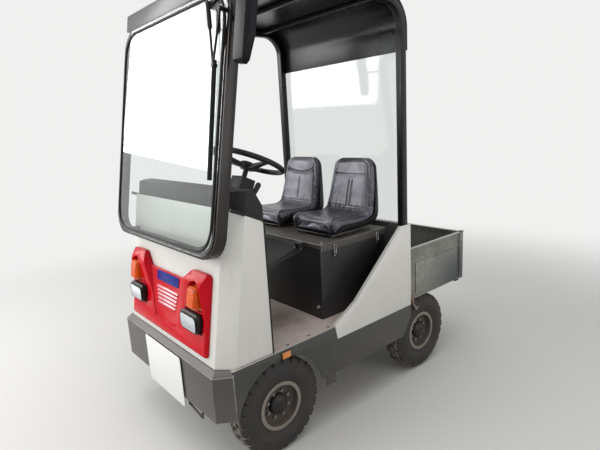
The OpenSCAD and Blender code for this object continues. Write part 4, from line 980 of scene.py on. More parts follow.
def treadBlock(name, outline, width, skew, side):
    # Extrudes a block's outline round the tyre, a little lower at its worn ends
    verts = []
    rings = (-1.0, -0.86, 0.86, 1.0)
    for t in rings:
        worn = tyreLook["worn"] if abs(t) == 1.0 else 0.0
        for across, radius in outline:
            drop = worn if radius > tyreLook["wornFrom"] else 0.0
            x = t * width / 2 + across * skew * side
            verts.append((x, across * side, radius - drop - x * x / (2 * radius)))
    count = len(outline)
    faces = gridFaces(len(rings), count) + [tuple(range(count)), tuple(range(3 * count, 4 * count))[::-1]]
    made = addPiece(name, verts, faces, tyreRubber)
    with openMesh(made) as shape:
        turnOutwards(shape)
    return made


def revolve(profile, centre, segments, closed=False):
    # Turns (radius, distance along Y) about the wheel's axle
    verts = []
    for s in range(segments):
        a = math.tau * s / segments
        verts += [(centre[0] + r * math.sin(a), centre[1] + y, centre[2] + r * math.cos(a))
                  for r, y in profile]
    return verts, gridFaces(segments, len(profile), around=closed, closed=True)


def joinPieces(target, others):
    shape = bmesh.new()
    for piece in [target] + others:
        shape.from_mesh(piece.data)
    shape.to_mesh(target.data)
    shape.free()
    for piece in others:
        bpy.data.objects.remove(piece)
    return target


def lugTurn(side, outward):
    # The source's gaps start at +X, with those of the inner side half a pitch on
    pitch = math.tau / tyreLook["shoulderBlocks"]
    return math.pi / 2 + (pitch / 2 if side == outward else 0.0)


def makeTyre(corner):
    look = tyreLook
    low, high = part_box("tyre_" + corner)
    centre = (low + high) / 2
    outward = 1 if centre[1] > 0 else -1
    half, inner = look["wall"][:-1], look["inner"]
    profile = look["wall"] + [(r, -y) for r, y in half[::-1]] + [(r, -y) for r, y in inner] + inner[::-1]
    verts, faces = revolve(profile, centre, look["wheelSegments"], closed=True)
    carcass = addPiece("tyreBody." + corner, verts, faces, tyreRubber)
    rows = [("shoulder", look["skew"], side, lugTurn(side, outward)) for side in (-1, 1)]
    rows.append(("crown", look["skew"] * 1.6, 1, look["crownStart"]))
    blocks = []
    for kind, skew, side, start in rows:
        block = treadBlock(kind, look[kind], look[kind + "Width"], skew, side)
        values = {"Count": look[kind + "Blocks"], "Start angle": start, "Centre": tuple(centre)}
        blocks.append(grow(block, ringTree, values | {"Material": tyreRubber}))
    tyre = joinPieces(carcass, blocks)
    with openMesh(tyre) as shape:
        turnOutwards(shape)
    smoothShade(tyre, 32)
    return finishPiece(tyre, "wheel_" + corner, "tyre_rubber", "tyre_" + corner)


# Wheel nuts, a dark hub cover and a valve on each rim
wheelLook = {"nutCircle": 0.064, "nuts": 8, "nutRadius": 0.0095, "nutHeight": 0.013, "washer": 0.013,
             "discFace": 0.012, "merge": 0.0012,
             # The hub cover: radius, distance out of the disc
             "hub": [(0.0, 0.0345), (0.020, 0.0345), (0.030, 0.0325), (0.0355, 0.027), (0.041, 0.025),
                     (0.046, 0.020), (0.050, 0.009), (0.050, 0.0)],
             # The valve: its foot's and tip's place along X, out of the disc and up
             "valve": ((0.078, 0.0, 0.02), (0.086, 0.028, 0.022)), "valveRadius": 0.004}


def makeWheelTrim(corner):
    look = wheelLook
    low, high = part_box("rim_" + corner)
    centre = (low + high) / 2
    side = 1 if centre.y > 0 else -1
    face = centre.y + side * look["discFace"]
    spots = []
    for i in range(look["nuts"]):
        a = math.tau * (i + 0.5) / look["nuts"]
        spots.append(((centre.x + look["nutCircle"] * math.sin(a), face,
                       centre.z + look["nutCircle"] * math.cos(a)), (0, side, 0)))
    addFasteners("wheelNuts." + corner, spots, nutSteel, "rim_silver", look["nutRadius"], look["nutHeight"],
                 washer=look["washer"], seed=4, body="wheel_" + corner)
    profile = [(max(r, 0.0005), side * (y + look["discFace"])) for r, y in look["hub"]]
    verts, faces = revolve(profile, centre, 40)
    cap = addPiece("hubCover." + corner, verts, faces, lampBlack)
    mergeDoubles(cap, look["merge"])
    with openMesh(cap) as shape:
        addRod(shape, *((centre.x + x, face + side * y, centre.z + z) for x, y, z in look["valve"]),
               look["valveRadius"], 8)
    smoothShade(cap, 35)
    return finishPiece(cap, "wheel_" + corner, "black_plastic")


for corner in ("front_left", "front_right", "rear_left", "rear_right"):
    makeTyre(corner)
    makeWheelTrim(corner)
print("tyres and wheels made")


# Places on the part's leaning planes: X out of the face, Z up along it
def leaningPlace(x, y, z, lean):
    return Matrix.Translation((x, y, z)) @ Matrix.Rotation(-math.radians(lean), 4, "Y")


apronLean, apronFoot = 9.5, 0.520
apronPlace = leaningPlace(0.933, 0, apronFoot, apronLean)
screenPlace = leaningPlace(0.927, 0, 1.0, 10.3)
columnPlace = leaningPlace(0.519, 0.220, 1.357, 25)
facePlane = Matrix(((0, 0, 1, 0), (1, 0, 0, 0), (0, 1, 0, 0), (0, 0, 0, 1)))


def moveMesh(piece, place):
    piece.data.transform(place)
    piece.data.update()
    return piece


def roundOutline(width, height, radius, steps=5):
    w, h = width / 2, height / 2
    return [tuple(p) for p in filletPath([(-w, -h), (w, -h), (w, h), (-w, h)], radius * 1.6, steps)]


def plateOn(name, place, outline, depth, material, slot, edge=0.0008):
    # A plate on a place's X face, its outline as (Y, Z)
    shape = bmesh.new()
    addPlate(shape, outline, place @ facePlane, depth)
    piece = fromBmesh(name, shape, material)
    softenEdges(piece, edge, 2)
    return finishPiece(piece, "chassis", slot)


def bothSides(line, y):
    return [[(x, side * y, z) for x, z in line] for side in (-1, 1)]


def addLoft(shape, rings):
    # Walls between four-cornered rings of points, closed at both ends
    rings = [[shape.verts.new(p) for p in ring] for ring in rings]
    for first, second in zip(rings, rings[1:]):
        for k in range(4):
            shape.faces.new((first[k], first[(k + 1) % 4], second[(k + 1) % 4], second[k]))
    shape.faces.new(rings[0][::-1])
    shape.faces.new(rings[-1])


# Headlamps: a ribbed lens with a rim on each housing
headlampLook = {"across": 0.292, "up": 0.17439, "seat": 0.0143, "step": 0.024, "half": 0.044, "lean": 8.53,
                "out": 0.005, "down": 0.002, "width": 0.134, "height": 0.066, "corner": 0.011, "lens": 0.0016,
                "ribs": 19, "ribPitch": 0.0066, "ribRadius": 0.0026, "ribMargin": 0.012, "rim": 0.003,
                "rimRadius": 0.0022}


def makeHeadlamp(side):
    look = headlampLook
    place = apronPlace @ Matrix.Translation((look["seat"], side * look["across"], look["up"]))
    place = place @ Matrix.Translation((look["step"], 0, -look["half"]))
    place = place @ Matrix.Rotation(math.radians(look["lean"]), 4, "Y")
    place = place @ Matrix.Translation((look["out"], 0, look["half"] - look["down"]))
    name = "Left" if side > 0 else "Right"
    width, height = look["width"], look["height"]
    plateOn("headlampLens" + name, place, roundOutline(width, height, look["corner"]), look["lens"],
            headlampLens, "clear_glass", 0.0012)
    rib = bmesh.new()
    length, deep = height - look["ribMargin"], look["lens"] * 0.4
    addRod(rib, (deep, 0, -length / 2), (deep, 0, length / 2), look["ribRadius"], 8)
    row = fromBmesh("headlampRibs" + name, rib, headlampLens)
    moveMesh(row, Matrix.Translation((0, -look["ribPitch"] * (look["ribs"] - 1) / 2, 0)))
    grow(row, rowTree, {"Count": look["ribs"], "Step": (0, look["ribPitch"], 0), "Material": headlampLens})
    row.data.shade_smooth()
    moveMesh(row, place)
    finishPiece(row, "chassis", "clear_glass")
    outline = roundOutline(width + look["rim"], height + look["rim"], look["corner"] + 0.001)
    edge = [place @ Vector((0.0005, y, z)) for y, z in outline]
    addTrim("headlampRim" + name, [edge], lampBlack, "lamp_housing", look["rimRadius"], closed=True)


# Indicators: screws in two corners, and the side markers with their bases
indicatorLook = {"across": 0.318, "up": 0.2860, "depth": 0.0592, "screwY": 0.026, "screwZ": 0.036,
                 "screwRadius": 0.0032, "screwHeight": 0.0015, "markerFrom": 0.5,
                 "markerX": 0.605, "markerHalf": 0.03, "markerIn": 0.5235, "markerOut": 0.5262,
                 "markerLow": 0.478, "markerHigh": 0.510}


def finishIndicators():
    look = indicatorLook
    lenses = softened["amber_lamps"]
    lenses.data.materials.append(markerLens)
    for face in lenses.data.polygons:
        face.material_index = 1 if abs(face.center.y) > look["markerFrom"] else 0
    spots, base = [], bmesh.new()
    x, half = look["markerX"], look["markerHalf"]
    outward = tuple(apronPlace.to_3x3() @ Vector((1, 0, 0)))
    for side in (-1, 1):
        for corner in (-1, 1):
            spot = Vector((look["depth"], side * look["across"] + corner * look["screwY"],
                           look["up"] + corner * look["screwZ"]))
            spots.append((apronPlace @ spot, outward))
        addBox(base, (x - half, side * look["markerIn"], look["markerLow"]),
               (x + half, side * look["markerOut"], look["markerHigh"]))
    addFasteners("indicatorScrews", spots, zincBright, "amber_lens", look["screwRadius"], look["screwHeight"],
                 sides=12, washer=0.004, seed=2)
    plate = fromBmesh("markerBases", base, lampBlack)
    softenEdges(plate, 0.001, 2)
    finishPiece(plate, "chassis", "lamp_housing")


# Fascia: the blank blue badge, and a hood that leans out of each louvre slot with a gap below it, painted
# pale pink as a highlight of light on its upper face
badgeLook = {"width": 0.236, "height": 0.050, "up": 0.3016, "depth": 0.012, "thick": 0.0022, "corner": 0.008}
louvreLook = {"count": 5, "topHalf": 0.113, "narrowing": 0.005, "top": 0.768, "drop": 0.007, "pitch": 0.019,
              "section": [(0.0105, 0.0072), (0.0165, -0.0032), (0.0148, -0.0040), (0.0088, 0.0062)]}


def makeFasciaTrim():
    look = badgeLook
    place = apronPlace @ Matrix.Translation((look["depth"], 0, look["up"]))
    plateOn("blankBadge", place, roundOutline(look["width"], look["height"], look["corner"]), look["thick"],
            badgeBlue, "red_plastic")
    look = louvreLook
    top = (look["top"] - apronFoot) / math.cos(math.radians(apronLean)) - look["drop"]
    hoods = bmesh.new()
    for i in range(look["count"]):
        half = look["topHalf"] - look["narrowing"] * i
        up = top - look["pitch"] * i
        addLoft(hoods, [[apronPlace @ Vector((x, y, up + z)) for x, z in look["section"]]
                        for y in (-half, half)])
    slats = fromBmesh("louvreHoods", hoods, louvreHighlightPink, 40)
    softenEdges(slats, 0.0006, 2)
    finishPiece(slats, "chassis", "red_plastic")


# Black rubber on the apron's rear edges, bright wear along the step and the skirts, and along the bumper a
# pale worn line that is also a painted highlight.
# Each line is in X and Z and runs at its own distance from the middle.
edgeLook = {
    "apronSide": 0.510, "apronFoot": [(0.668, 0.521), (0.668, 0.8)],
    "apronHead": [(0.745, 1.1632), (0.822, 1.1955)],
    "bendAt": (0.668, 1.115), "bend": 0.018, "bendTurns": (180, 165, 150, 135, 120, 108),
    "skirtSide": 0.5215, "step": [(x, 0.5198) for x in (0.2875, 0.45, 0.60, 0.75, 0.886)],
    "jointSide": 0.5222, "joint": [(0.8868, z) for z in (0.508, 0.45, 0.39, 0.335)],
    "panel": [(0.2855, 0.5215), (0.125, 0.6075), (-0.255, 0.9312), (-0.334, 0.9312)],
    "bumper": [(0.8868, 0.5225, 0.4975), (0.9605, 0.4722, 0.4975)]}


def makeEdges():
    look = edgeLook
    x, z = look["bendAt"]
    reach, turns = look["bend"], [math.radians(a) for a in look["bendTurns"]]
    bend = [(x + reach * (1 + math.cos(a)), z + reach * math.sin(a)) for a in turns]
    apron = look["apronFoot"] + bend + look["apronHead"]
    addTrim("apronEdging", bothSides(apron, look["apronSide"]), trimRubber, "black_rubber", 0.0075, sides=10)
    addTrim("skirtWearStrip", bothSides(look["step"], look["skirtSide"]), zincBright, "anthracite", 0.0022)
    addTrim("cornerJoint", bothSides(look["joint"], look["jointSide"]), chippedEdge, "anthracite", 0.0018)
    rim = look["bumper"] + [(x, -y, z) for x, y, z in look["bumper"][::-1]]
    # A pale worn line along the bumper's top edge, which is also a painted highlight
    addTrim("bumperEdgeWearAndHighlight", [rim], chippedEdge, "anthracite", 0.0021)
    addTrim("panelFoldEdge", bothSides(look["panel"], look["skirtSide"]), panelWhite, "off_white", 0.0032)


# Rubber gasket between hoop and glass, with a dark band on the glass's edge that stands in for the hoop's
# dark reflection there: a painted reflection
gasketLook = {"half": 0.500, "length": 1.0072, "middle": 0.5336, "corner": 0.082, "out": 0.0052,
              "radius": 0.0065, "band": 0.017, "bandThick": 0.0006, "bandIn": -0.0004}


def makeGasket():
    look = gasketLook
    band, mid = look["band"], look["middle"]
    inner = roundOutline(2 * look["half"], look["length"], look["corner"], 8)
    path = [screenPlace @ Vector((look["out"], y, mid + z)) for y, z in inner]
    addTrim("screenGasket", [path], trimRubber, "black_rubber", look["radius"], closed=True)
    narrow = roundOutline(2 * (look["half"] - band), look["length"] - 2 * band, look["corner"] - band, 8)
    # The dark band round the glass's edge is a painted reflection of the hoop
    verts = [screenPlace @ Vector((look["bandIn"], y, mid + z)) for y, z in inner + narrow]
    paintedReflectionBand = addPiece("screenBand", verts, gridFaces(2, len(inner)), trimRubber)
    thicken(paintedReflectionBand, look["bandThick"])
    finishPiece(paintedReflectionBand, "chassis", "black_rubber")


# Mirror glasses in their housings: the left one set out, the right one folded back
mirrorLook = {"outline": [(-0.040, 0.030), (-0.032, 0.012), (0.004, 0.008), (0.018, 0.018), (0.040, 0.098),
                          (0.040, 0.308), (0.030, 0.322), (-0.030, 0.322), (-0.040, 0.308)],
              "corner": 0.008, "low": 0.755, "reach": 0.665, "width": 0.096, "depth": 0.040, "glass": 0.0016,
              "proud": 0.0014, "leftBack": -0.027, "rightBack": -0.121}


def makeMirrorGlasses():
    look = mirrorLook
    outline = [tuple(p) for p in filletPath(look["outline"], look["corner"], 3)]
    outY, foldY = look["reach"] - look["width"] / 2, look["reach"] - look["depth"]
    left = screenPlace @ Matrix.Translation((look["leftBack"] - look["proud"], outY, look["low"]))
    right = screenPlace @ Matrix.Translation((look["rightBack"], -foldY + look["proud"], look["low"]))
    right = right @ Matrix.Rotation(-math.pi / 2, 4, "Z")
    for name, place in (("mirrorGlassLeft", left), ("mirrorGlassRight", right)):
        plateOn(name, place, outline, look["glass"], mirrorFace, "clear_glass", 0.0005)


# Latches, hinge rivets and the charging stud on the seat box, bolts and a worn edge on its lid
boxLook = {"latchX": (-0.159, 0.171), "loopSide": 0.4292, "loopHalf": 0.007, "loopLow": 0.862,
           "loopHigh": 0.906, "rivetSide": 0.4232, "rivetsUp": (0.8475, 0.8725), "hingeX": 0.2826,
           "hingeUp": 0.884, "hingeY": (-0.286, -0.238, 0.238, 0.286), "studSpot": (0.39, 0.585),
           # The stud's two steps: from X, to X, radius, facets, radius at its end
           "stud": ((0.2655, 0.276, 0.010, 16, 0.0085), (0.275, 0.284, 0.0045, 12, None)),
           "lidX": (-0.315, 0.240), "lidY": (-0.40, 0.40), "lidTop": 0.9204,
           "lidEdge": (0.2655, 0.424, 0.9185)}


def makeBoxFittings():
    look = boxLook
    loops, spots = [], []
    half, low, high = look["loopHalf"], look["loopLow"], look["loopHigh"]
    for side in (-1, 1):
        for x in look["latchX"]:
            loop = ((x - half, low), (x - half, high), (x + half, high), (x + half, low))
            loops.append([(px, side * look["loopSide"], pz) for px, pz in loop])
            spots += [((x, side * look["rivetSide"], z), (0, side, 0)) for z in look["rivetsUp"]]
    addTrim("latchLoops", loops, zincBright, "box_black", 0.0018, closed=True)
    spots += [((look["hingeX"], y, look["hingeUp"]), (1, 0, 0)) for y in look["hingeY"]]
    addFasteners("boxRivets", spots, zincBright, "box_black", radius=0.0032, height=0.002, sides=12,
                 washer=0.0045, seed=5)
    shape = bmesh.new()
    for near, far, radius, sides, end in look["stud"]:
        addRod(shape, (near, *look["studSpot"]), (far, *look["studSpot"]), radius, sides, end)
    finishPiece(fromBmesh("chargingStud", shape, zincBright, 35), "chassis", "box_black")
    bolts = [((x, y, look["lidTop"]), (0, 0, 1)) for x in look["lidX"] for y in look["lidY"]]
    addFasteners("lidBolts", bolts, zincBright, "box_black", radius=0.006, height=0.004, washer=0.009,
                 seed=6, body="seat_deck")
    x, y, z = look["lidEdge"]
    addTrim("lidFrontWear", [[(x, -y, z), (x, y, z)]], chippedEdge, "box_black", 0.0022, body="seat_deck")


# Dash: two raised plates, a dial and a row of rocker switches on its slope
dashLook = {"spot": (0.680, 0, 1.227), "slope": (0.072, 0.040), "plateHigh": 0.062, "plateThick": 0.002,
            "plates": (("dialPanel", 0.10, 0.150), ("switchPanel", 0.31, 0.200)),
            "dialSpot": (0.0018, 0.13, 0), "dial": (0.062, 0.044, 0.005), "dialThick": 0.0014,
            "switches": 5, "switchGap": 0.034, "switchFirst": (0.001, 0.235, 0),
            "switchLow": (0, -0.010, -0.018), "switchHigh": (0.007, 0.010, 0.018)}


def makeDash():
    look = dashLook
    slope = math.atan2(*look["slope"])
    panel = Matrix.Translation(look["spot"]) @ Matrix.Rotation(math.pi / 2 - slope, 4, "Y")
    panel = panel @ Matrix.Rotation(math.pi, 4, "Z")
    for name, y, width in look["plates"]:
        plateOn(name, panel @ Matrix.Translation((0, y, 0)), roundOutline(width, look["plateHigh"], 0.008),
                look["plateThick"], lampBlack, "black_plastic", 0.0006)
    plateOn("dialFace", panel @ Matrix.Translation(look["dialSpot"]), roundOutline(*look["dial"]),
            look["dialThick"], screenDark, "black_plastic", 0.0004)
    switch = bmesh.new()
    addBox(switch, look["switchLow"], look["switchHigh"])
    row = fromBmesh("rockerSwitches", switch, dashBlack)
    softenEdges(row, 0.002, 2)
    moveMesh(row, Matrix.Translation(look["switchFirst"]))
    grow(row, rowTree, {
        "Count": look["switches"], "Step": (0, look["switchGap"], 0), "Material": dashBlack})
    moveMesh(row, panel)
    smoothShade(row, 40)
    finishPiece(row, "chassis", "black_plastic")


# Steering wheel: its boss, and three flat arms down to it
steerLook = {
    # The boss: radius, distance down the column
    "boss": [(0.0006, -0.002), (0.018, -0.003), (0.030, -0.006), (0.037, -0.012), (0.038, -0.020),
             (0.034, -0.030)],
    # An arm: reach, rise and half width at each station
    "arm": [(0.012, -0.033, 0.015), (0.060, -0.029, 0.0135), (0.110, -0.0125, 0.012),
            (0.150, -0.0015, 0.0125), (0.166, 0.002, 0.016)],
    "armTurns": (90, 210, 330), "armThick": 0.0052}


def makeSteeringWheel():
    look = steerLook
    verts, faces = revolve(look["boss"], (0, 0, 0), 32)
    boss = addPiece("wheelBoss", verts, faces, dashBlack, 40)
    moveMesh(boss, columnPlace @ Matrix.Rotation(math.pi / 2, 4, "X"))
    mergeDoubles(boss, 0.001)
    finishPiece(boss, "steering_wheel", "black_plastic")
    arms, thick = bmesh.new(), look["armThick"]
    for a in look["armTurns"]:
        place = columnPlace @ Matrix.Rotation(math.radians(a), 4, "Z")
        addLoft(arms, [[place @ Vector((x, y, z + t)) for y, t in (
            (-w, -thick), (w, -thick), (w, thick), (-w, thick))] for x, z, w in look["arm"]])
    ribs = fromBmesh("wheelSpokes", arms, lampBlack, 40)
    softenEdges(ribs, 0.0015, 2)
    finishPiece(ribs, "steering_wheel", "black_plastic")


# Direction lever, thickest near its knob: radius, distance up from its foot
leverLook = {"foot": (0.6615, 0.38, 1.166), "top": (0.578, 0.38, 1.270), "merge": 0.0013,
             "handle": [(0.0006, 0), (0.009, 0.001), (0.0098, 0.030), (0.0112, 0.072), (0.0128, 0.106),
                        (0.0130, 0.119), (0.0112, 0.1275), (0.0060, 0.1320), (0.0006, 0.1328)]}


def makeLever():
    look = leverLook
    foot = Vector(look["foot"])
    along = (Vector(look["top"]) - foot).to_track_quat("Y", "Z").to_matrix().to_4x4()
    verts, faces = revolve(look["handle"], (0, 0, 0), 24)
    lever = addPiece("leverHandle", verts, faces, lampBlack, 40)
    moveMesh(lever, Matrix.Translation(foot) @ along)
    mergeDoubles(lever, look["merge"])
    finishPiece(lever, "chassis", "black_plastic")


# Ribbed rubber on the pedals, which stand at the source's places and lean back
pedalLook = {"pedals": (("pedalRibsLeft", 0.330, 0.068), ("pedalRibsRight", 0.128, 0.052)),
             "foot": (0.758, 0.528), "lean": 30, "ribs": 8, "ribPitch": 0.0108,
             "ribX": (-0.0105, -0.0075), "ribZ": (0.060, 0.065)}


def makePedalRibs():
    look = pedalLook
    (back, front), (low, high), (footX, footZ) = look["ribX"], look["ribZ"], look["foot"]
    for name, y, width in look["pedals"]:
        rib = bmesh.new()
        addBox(rib, (back, -width / 2, low), (front, width / 2, high))
        row = fromBmesh(name, rib, trimRubber)
        softenEdges(row, 0.0008, 1)
        grow(row, rowTree, {
            "Count": look["ribs"], "Step": (0, 0, look["ribPitch"]), "Material": trimRubber})
        moveMesh(row, leaningPlace(footX, y, footZ, look["lean"]))
        finishPiece(row, "chassis", "black_rubber")


# U-bolts over the axles' leaf packs, and bolts where a builder would find them
runningLook = {"axles": (0.631, -0.469), "halfSpan": 0.034, "packSides": (0.188, 0.252), "boltLow": 0.196,
               "boltHigh": 0.300, "crown": 0.006, "nutUp": 0.200, "floorUp": 0.5202,
               "stepX": (0.31, 0.44, 0.57, 0.69), "stepSide": 0.500,
               "bedX": (-0.84, -0.62, -0.40), "bedSide": 0.47,
               "couplingX": -0.9012, "couplingSide": 0.052, "couplingUp": (0.375, 0.432)}


def makeRunningGearTrim():
    look = runningLook
    spots, paths, bolts = [], [], []
    low, high = look["boltLow"], look["boltHigh"]
    for axle in look["axles"]:
        for side in (-1, 1):
            for x in (axle - look["halfSpan"], axle + look["halfSpan"]):
                y0, y1 = (side * y for y in look["packSides"])
                paths.append([(x, y0, low), (x, y0, high), (x, (y0 + y1) / 2, high + look["crown"]),
                              (x, y1, high), (x, y1, low)])
                spots += [((x, y, look["nutUp"]), (0, 0, -1)) for y in (y0, y1)]
    addTrim("springBolts", paths, axleIron, "axle_iron", 0.005)
    addFasteners("springNuts", spots, zincBright, "axle_iron", radius=0.009, height=0.010, washer=0.012,
                 seed=8)
    top, rear = look["floorUp"], look["couplingX"]
    for side in (-1, 1):
        bolts += [((x, side * look["stepSide"], top), (0, 0, 1)) for x in look["stepX"]]
        bolts += [((x, side * look["bedSide"], top), (0, 0, 1)) for x in look["bedX"]]
        bolts += [((rear, side * look["couplingSide"], z), (-1, 0, 0)) for z in look["couplingUp"]]
    addFasteners("floorBolts", bolts, zincBright, "worn_floor", radius=0.0062, height=0.0032,
                 washer=0.0095, seed=9)


# The bent rod under the bumper, and rubber caps on the bed's rear corners
looseLook = {"rod": [(0.940, 0.180, 0.2905), (0.940, 0.186, 0.248), (0.940, 0.307, 0.227),
                     (0.940, 0.312, 0.2905)],
             "rodRadius": 0.005, "capLow": (-0.897, 0.5030, 0.7850), "capHigh": (-0.865, 0.5255, 0.7885)}


def makeLooseBits():
    look = looseLook
    shape = bmesh.new()
    for start, end in zip(look["rod"], look["rod"][1:]):
        addRod(shape, start, end, look["rodRadius"], 10)
    finishPiece(fromBmesh("underBumperRod", shape, frameGrey, 40), "chassis", "black_steel")
    caps = bmesh.new()
    for side in (-1, 1):
        addBox(caps, *((x, side * y, z) for x, y, z in (look["capLow"], look["capHigh"])))
    cap = fromBmesh("bedCornerCaps", caps, trimRubber)
    softenEdges(cap, 0.001, 2)
    finishPiece(cap, "chassis", "black_rubber")


screenDark = makeRubber("dark dial glass", tone(6, 8, 12), tone(14, 18, 24), 0.12)
for side in (-1, 1):
    makeHeadlamp(side)
finishIndicators()
makeFasciaTrim()
makeEdges()
makeGasket()
makeMirrorGlasses()
makeBoxFittings()
makeDash()
makeSteeringWheel()
makeLever()
makePedalRibs()
makeRunningGearTrim()
makeLooseBits()
print("trim made")

# Seats: one padded L is swept between a sitting curve and a back curve, swollen by a cloth
# simulation, and copied for both places before each gets its own seams
seatLook = {
    "base": 0.9303, "across": 0.224, "halfWidth": 0.184, "steps": 84, "columns": 37,
    # Along the seat's middle from the front roll to the top, as (station, height) in millimetres: the
    # padding's upper side and its lower side, and the moulded shell round it
    "sit": [(598, 15), (604, 28), (610, 50), (612, 68), (602, 82), (575, 86), (480, 78), (400, 75),
            (356, 82), (334, 102), (321, 145), (309, 195), (297, 245), (285, 295), (273, 345), (262, 374),
            (249, 380)],
    "back": [(590, 16), (580, 24), (560, 26), (520, 26), (470, 27), (400, 29), (345, 36), (306, 52),
             (285, 82), (273, 130), (262, 180), (251, 230), (242, 280), (236, 330), (240, 374)],
    "outer": [(613, 7), (600, 2), (570, 0), (480, 0), (400, 0), (320, 1), (262, 8), (230, 28), (216, 62),
              (213, 110), (215, 180), (218, 250), (220, 310), (222, 352), (234, 377)],
    "middle": 469, "samples": 160, "bolster": 0.012, "bolsterAt": 0.86, "bolsterWide": 0.12, "dish": 0.014,
    "wall": 0.34, "crown": 0.66, "ends": 0.05, "merge": 0.0002, "voxel": 0.0056, "finer": 1, "fill": 0.75,
    # The swell: what lies this deep over the shell moves freely, up to the cap
    "restDepth": 0.014, "pressure": 4.0, "frames": 20, "cap": 0.009,
    # The moulded shell: columns, its rim's share of the padding's depth, how far it stands out, its sheet
    "shellColumns": 33, "shellRim": 0.40, "shellOut": 0.004, "shellThick": 0.004}


def alongCurve(points, count):
    # Evenly spaced points on a smooth curve through the given ones, in metres
    knots = np.array(points, float)
    knots = np.column_stack(((knots[:, 0] - seatLook["middle"]) / 1000, knots[:, 1] / 1000))
    fine = []
    for i in range(len(knots) - 1):
        before, start = knots[max(i - 1, 0)], knots[i]
        end, after = knots[i + 1], knots[min(i + 2, len(knots) - 1)]
        for k in range(8):
            u = k / 8
            second, third = 2 * before - 5 * start + 4 * end - after, 3 * start - before - 3 * end + after
            fine.append(0.5 * (2 * start + (end - before) * u + second * u * u + third * u ** 3))
    fine.append(knots[-1])
    fine = np.array(fine)
    reach = np.concatenate(([0], np.cumsum(np.linalg.norm(np.diff(fine, axis=0), axis=1))))
    even = np.linspace(0, reach[-1], count)
    return np.column_stack((np.interp(even, reach, fine[:, 0]), np.interp(even, reach, fine[:, 1])))


def seatHalfWidth(share, height):
    # Rounded at the front roll and at the top corners, narrowing up the back
    full = seatLook["halfWidth"]
    front = 1 - 0.10 * max(0, 1 - share / 0.13) ** 2.2
    lean = np.interp(height, [0.0, 0.10, 0.227, 0.37], [1.0, 0.99, 0.90, 0.775])
    top = 1 - 0.32 * max(0, 1 - (1 - share) / 0.095) ** 2.6
    return full * front * lean * top


def seatAcross(columns):
    # Places across a seat from -1 to 1, closer together at both edges
    return np.sin(np.linspace(-1, 1, columns) * math.pi / 2)


def seatShape():
    look = seatLook
    sit, back = (alongCurve(look[key], look["steps"]) for key in ("sit", "back"))
    verts, across, wall = [], seatAcross(look["columns"]), look["wall"]
    for i in range(look["steps"]):
        share = i / (look["steps"] - 1)
        outward = sit[i] - back[i]
        thick = np.linalg.norm(outward)
        outward = outward / thick
        half = seatHalfWidth(share, back[i][1])
        ends = min(1.0, share / look["ends"], (1 - share) / look["ends"])
        ring = []
        for v in across:
            roll = math.sqrt(max(0.0, 1 - abs(v) ** 9))
            swell = look["bolster"] * math.exp(-((abs(v) - look["bolsterAt"]) / look["bolsterWide"]) ** 2)
            dip = look["dish"] * (1 - v * v) ** 2
            ring.append((v, thick * (wall + look["crown"] * roll) + (swell * roll - dip) * ends))
        for v in across[-2:0:-1]:
            ring.append((v, thick * wall * (1 - math.sqrt(max(0.0, 1 - abs(v) ** 4)))))
        for v, depth in ring:
            spot = back[i] + outward * depth
            verts.append((spot[0], v * half, spot[1] + look["base"]))
    count = len(verts) // look["steps"]
    last = (look["steps"] - 1) * count
    caps = [tuple(range(count)), tuple(range(last, last + count))]
    return verts, gridFaces(look["steps"], count) + caps


def readPoints(mesh, kind="co"):
    flat = np.empty(len(mesh.vertices) * 3)
    mesh.vertices.foreach_get(kind, flat)
    return flat.reshape(-1, 3)


def writePoints(mesh, points):
    mesh.vertices.foreach_set("co", points.ravel())
    mesh.update()


def remeshPad(pad):
    voxels = pad.modifiers.new("voxels", "REMESH")
    voxels.mode = "VOXEL"
    voxels.voxel_size = seatLook["voxel"]
    plainMesh(pad)


def swellPad(pad):
    # A short cloth simulation under pressure; what rests on the shell stays
    look = seatLook
    before = readPoints(pad.data)
    resting = np.clip(1 - seatPlace(before)[1] / look["restDepth"], 0, 1)
    pins = pad.vertex_groups.new(name="resting")
    for i in np.nonzero(resting > 0.02)[0]:
        pins.add([int(i)], float(resting[i]), "REPLACE")
    cloth = pad.modifiers.new("cloth", "CLOTH")
    setup = cloth.settings
    setup.quality = 5
    setup.mass = 0.3
    setup.tension_stiffness = setup.compression_stiffness = 12
    setup.bending_stiffness = 0.6
    setup.use_pressure = True
    setup.uniform_pressure_force = look["pressure"]
    setup.effector_weights.gravity = 0
    setup.vertex_group_mass = "resting"
    cloth.collision_settings.use_collision = False
    scene = bpy.context.scene
    for step in range(1, look["frames"] + 1):
        scene.frame_set(step)
    plainMesh(pad)
    scene.frame_set(1)
    move = (readPoints(pad.data) - before) * (1 - resting)[:, None]
    length = np.linalg.norm(move, axis=1)
    print("seat swelled by at most", round(float(length.max()) * 1000, 1), "mm, kept to", look["cap"] * 1000)
    move *= np.minimum(1, look["cap"] / np.maximum(length, 1e-9))[:, None]
    writePoints(pad.data, before + move)


def seatPlace(points):
    # For each point: share along the seat's curve, depth over the back curve, height over the base
    look = seatLook
    sit, back = (alongCurve(look[key], look["samples"]) for key in ("sit", "back"))
    flat = np.column_stack((points[:, 0], points[:, 2] - look["base"]))
    middle = (sit + back) / 2
    gap = np.linalg.norm(flat[:, None, :] - middle[None, :, :], axis=2)
    nearest = gap.argmin(axis=1)
    outward = sit - back
    outward = outward / np.linalg.norm(outward, axis=1)[:, None]
    depth = ((flat - back[nearest]) * outward[nearest]).sum(axis=1)
    return nearest / (look["samples"] - 1), depth, flat[:, 1]


